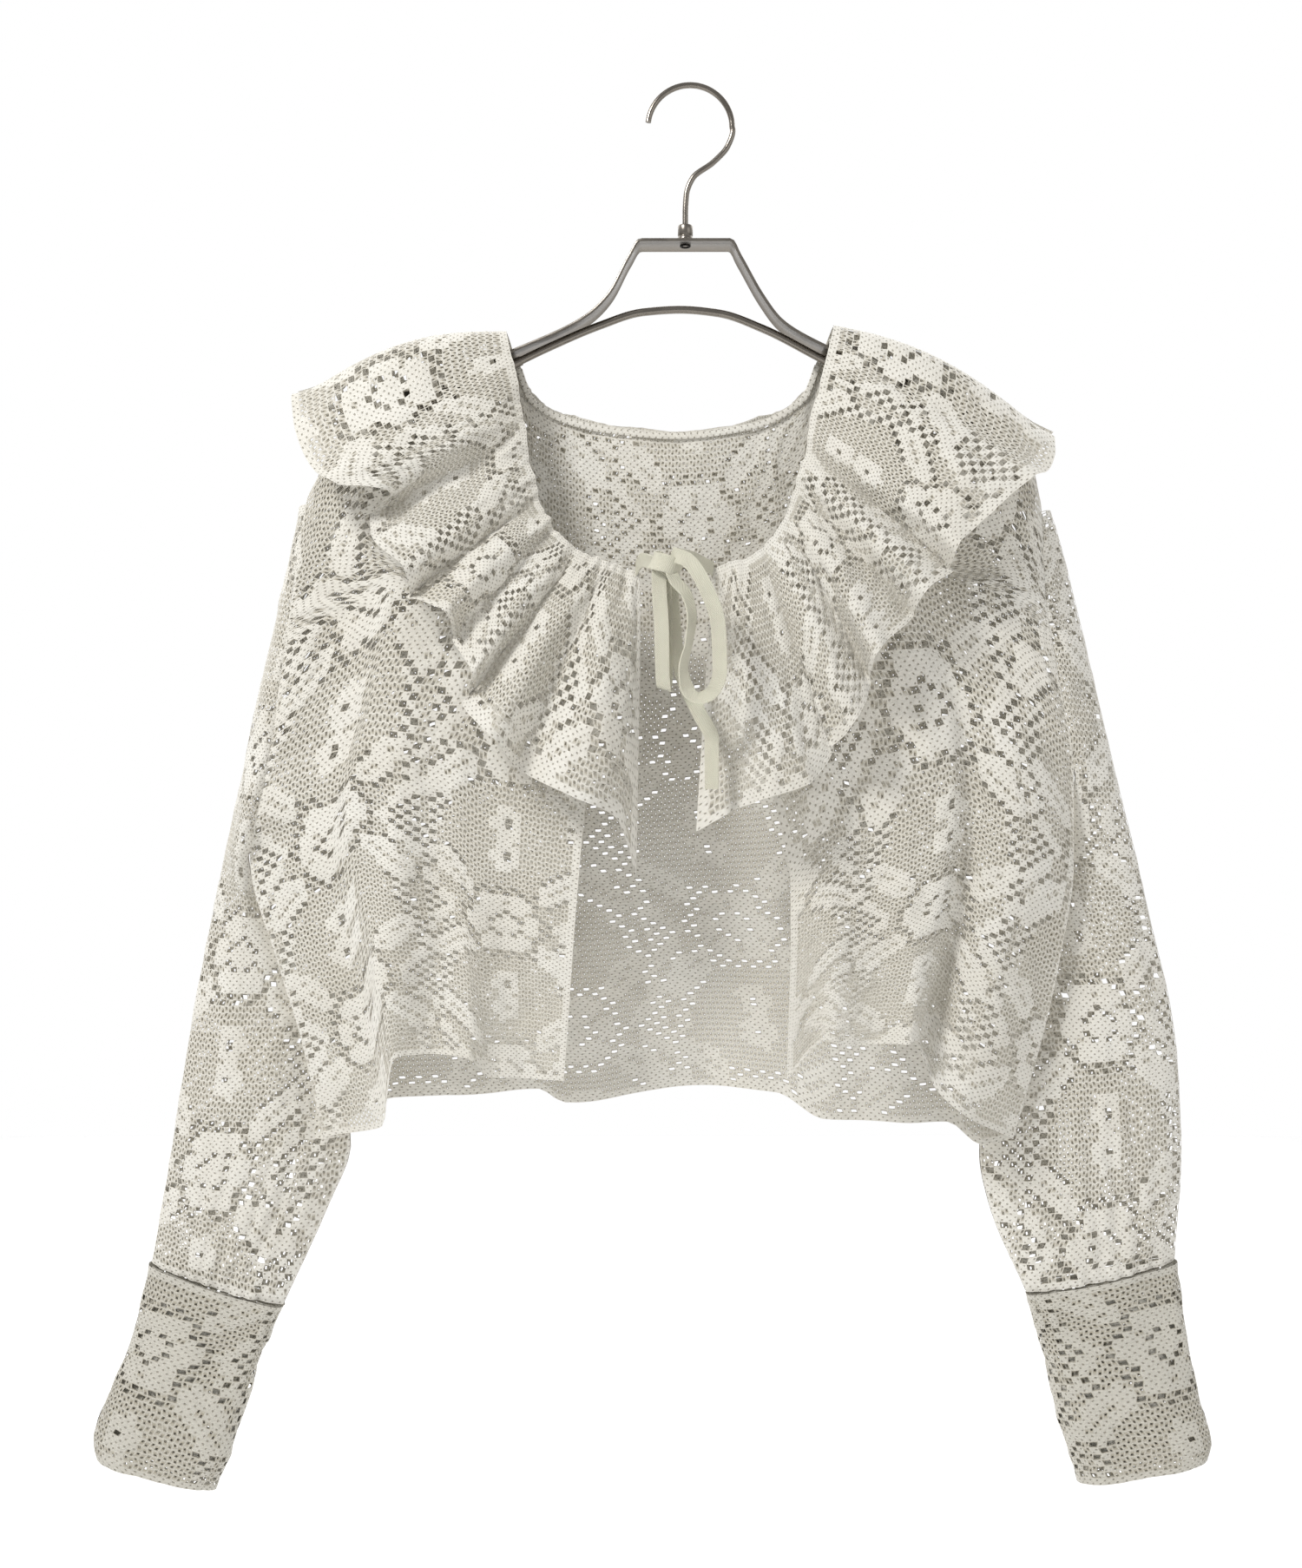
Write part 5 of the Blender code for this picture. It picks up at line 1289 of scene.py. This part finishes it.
class CARDIGAN_OT_tie(bpy.types.Operator):
    """The twill tape tie: two ends from the neck, a knot, two loops and a hanging tail"""
    bl_idname = "cardigan.tie"
    bl_label = "Tape tie"

    def execute(self, context):
        tape = twill_tape("twill_tape", hexed(context.scene.cardigan.tape))
        wide, made = tape_section(TAPE_SEEN + 0.6, TAPE * 0.8), []
        knot = [np.array(p) + np.array(TIE_KNOT) for p in KNOT_TURN]
        made.append(swept("tie_knot_tape", knot, tape_section(KNOT_WIDE, 1.6), tape, 90, across=(0.45, 0, 1)))
        for name, points, across, lean in TAPES:
            made.append(swept(name + "_tape", points, wide, tape, 100, across=across, lean=lean))
        for part in made:
            shown(part, [part.name.replace("_tape", "")])
        for part, route in zip(made, [KNOT_TURN] + [row[1] for row in TAPES]):
            max(run_length(route), LEAST_FLAT + 0.5) * MM
        return finished(made)


class CARDIGAN_OT_hanger(bpy.types.Operator):
    """The metal hanger: hook, ferrule, strap with its rivet, and the rod below"""
    bl_idname = "cardigan.hanger"
    bl_label = "Hanger"

    def execute(self, context):
        steel = hexed(context.scene.cardigan.steel)
        nickel = brushed_nickel("brushed_nickel", steel, 0.30)
        polished = brushed_nickel("polished_nickel", steel, 0.20)
        dark = brushed_nickel("shadowed_steel", "#1B1A18", 0.6)
        wire = HOOK_WIRE / 2
        bend = [(HOOK_RADIUS * math.cos(a), wire - HOOK_RADIUS + HOOK_RADIUS * math.sin(a))
                for a in np.radians(np.linspace(173, 0, 24))]
        made = [bar("steel_hook", bend + list(HOOK_END), round_section(wire), polished, 150, ["hanger_hook"])]
        x = HOOK_END[-1][0]
        ferrule = turned_piece("steel_ferrule", (x, 0, 0), ferrule_rings(), nickel, closed=True)
        made.append(shown(ferrule, ["hanger_ferrule"]))
        made.append(bar("steel_strap", STRAP_PATH, strap_section(), nickel, 160, ["hanger_strap"]))
        made.append(bar("steel_rod", ROD_PATH, round_section(ROD_WIRE / 2), polished, 130, ["hanger_rod"]))
        rivet = turned_piece("hanger_rivet_hole", (x, 0, RIVET_Z), RIVET_RINGS, dark)
        made.append(shown(rivet, []))
        made.append(bar("hanger_rod_joint", ROD_JOINT, round_section(ROD_WIRE / 2 + 0.5), nickel, 12, []))
        return finished(made)


class CARDIGAN_OT_stage(bpy.types.Operator):
    """Pale floor, soft studio light, and the camera at the photograph's angle"""
    bl_idname = "cardigan.stage"
    bl_label = "Stage"

    def execute(self, context):
        s = context.scene.cardigan
        sides = [(-FLOOR_HALF, -FLOOR_HALF), (FLOOR_HALF, -FLOOR_HALF), (FLOOR_HALF, FLOOR_HALF),
                 (-FLOOR_HALF, FLOOR_HALF)]
        floor = shape("studio_floor", [(x, y, FLOOR_Z) for x, y in sides], [(0, 1, 2, 3)], sides,
                      plain_floor("matt_floor_paint", hexed(s.floor)), smooth=False)
        world = bpy.data.worlds.new("studio")
        context.scene.world = world
        world.use_nodes = True
        tree = world.node_tree
        # a white room, dimmer on the side that the camera stands, like a studio with its lamps turned away
        toward = node(tree, "SeparateXYZ", {0: node(tree, "TexCoord")["Generated"]})["Y"]
        room = node(tree, "MapRange", {0: toward, 1: -0.25, 2: 0.30, 3: ROOM_NEAR, 4: ROOM_FAR},
                    interpolation_type="SMOOTHSTEP")[0]
        feed(tree, tree.nodes["Background"], {"Color": linear("#FFFFFF"), "Strength": room})
        for name, spot, aim, size, power in LAMPS:
            lamp = bpy.data.lights.new(name, "AREA")
            lamp.shape, lamp.size, lamp.energy = "SQUARE", size, power
            made = bpy.data.objects.new(name, lamp)
            made.location = spot
            made.rotation_mode = "QUATERNION"
            made.rotation_quaternion = (Vector(aim) - Vector(spot)).to_track_quat("-Z", "Y")
            context.scene.collection.objects.link(made)
        camera = bpy.data.cameras.new("camera")
        camera.sensor_fit, camera.sensor_width, camera.lens = "AUTO", SENSOR, LENS
        camera.clip_start, camera.clip_end = 0.05, 40
        eye = bpy.data.objects.new("camera", camera)
        eye.location = (EYE_X, -s.hang_distance, EYE_Z)
        eye.rotation_euler = (math.radians(90), 0, 0)
        context.scene.collection.objects.link(eye)
        context.scene.camera = eye
        context.scene.view_settings.view_transform = "Standard"
        return finished([floor, eye])


class CARDIGAN_PT_panel(bpy.types.Panel):
    """Builds the cardigan piece by piece"""
    bl_idname = "CARDIGAN_PT_panel"
    bl_label = "Lace cardigan"
    bl_space_type = "VIEW_3D"
    bl_region_type = "UI"
    bl_category = "Cardigan"

    def draw(self, context):
        for name in CardiganSizes.__annotations__:
            self.layout.prop(context.scene.cardigan, name)
        for step in STEPS:
            self.layout.operator("cardigan." + step)


STEPS = ("hanger", "back", "fronts", "sleeves", "cuffs", "collar", "tie", "stage")
CLASSES = (CardiganSizes, CARDIGAN_OT_fronts, CARDIGAN_OT_back, CARDIGAN_OT_sleeves, CARDIGAN_OT_cuffs,
           CARDIGAN_OT_collar, CARDIGAN_OT_tie, CARDIGAN_OT_hanger, CARDIGAN_OT_stage, CARDIGAN_PT_panel)


def register():
    for each in CLASSES:
        bpy.utils.register_class(each)
    bpy.types.Scene.cardigan = bpy.props.PointerProperty(type=CardiganSizes)


def unregister():
    del bpy.types.Scene.cardigan
    for each in reversed(CLASSES):
        bpy.utils.unregister_class(each)


def main():
    register()
    for step in STEPS:
        getattr(bpy.ops.cardigan, step)()
    bpy.context.view_layer.update()


if __name__ == "__main__":
    main()
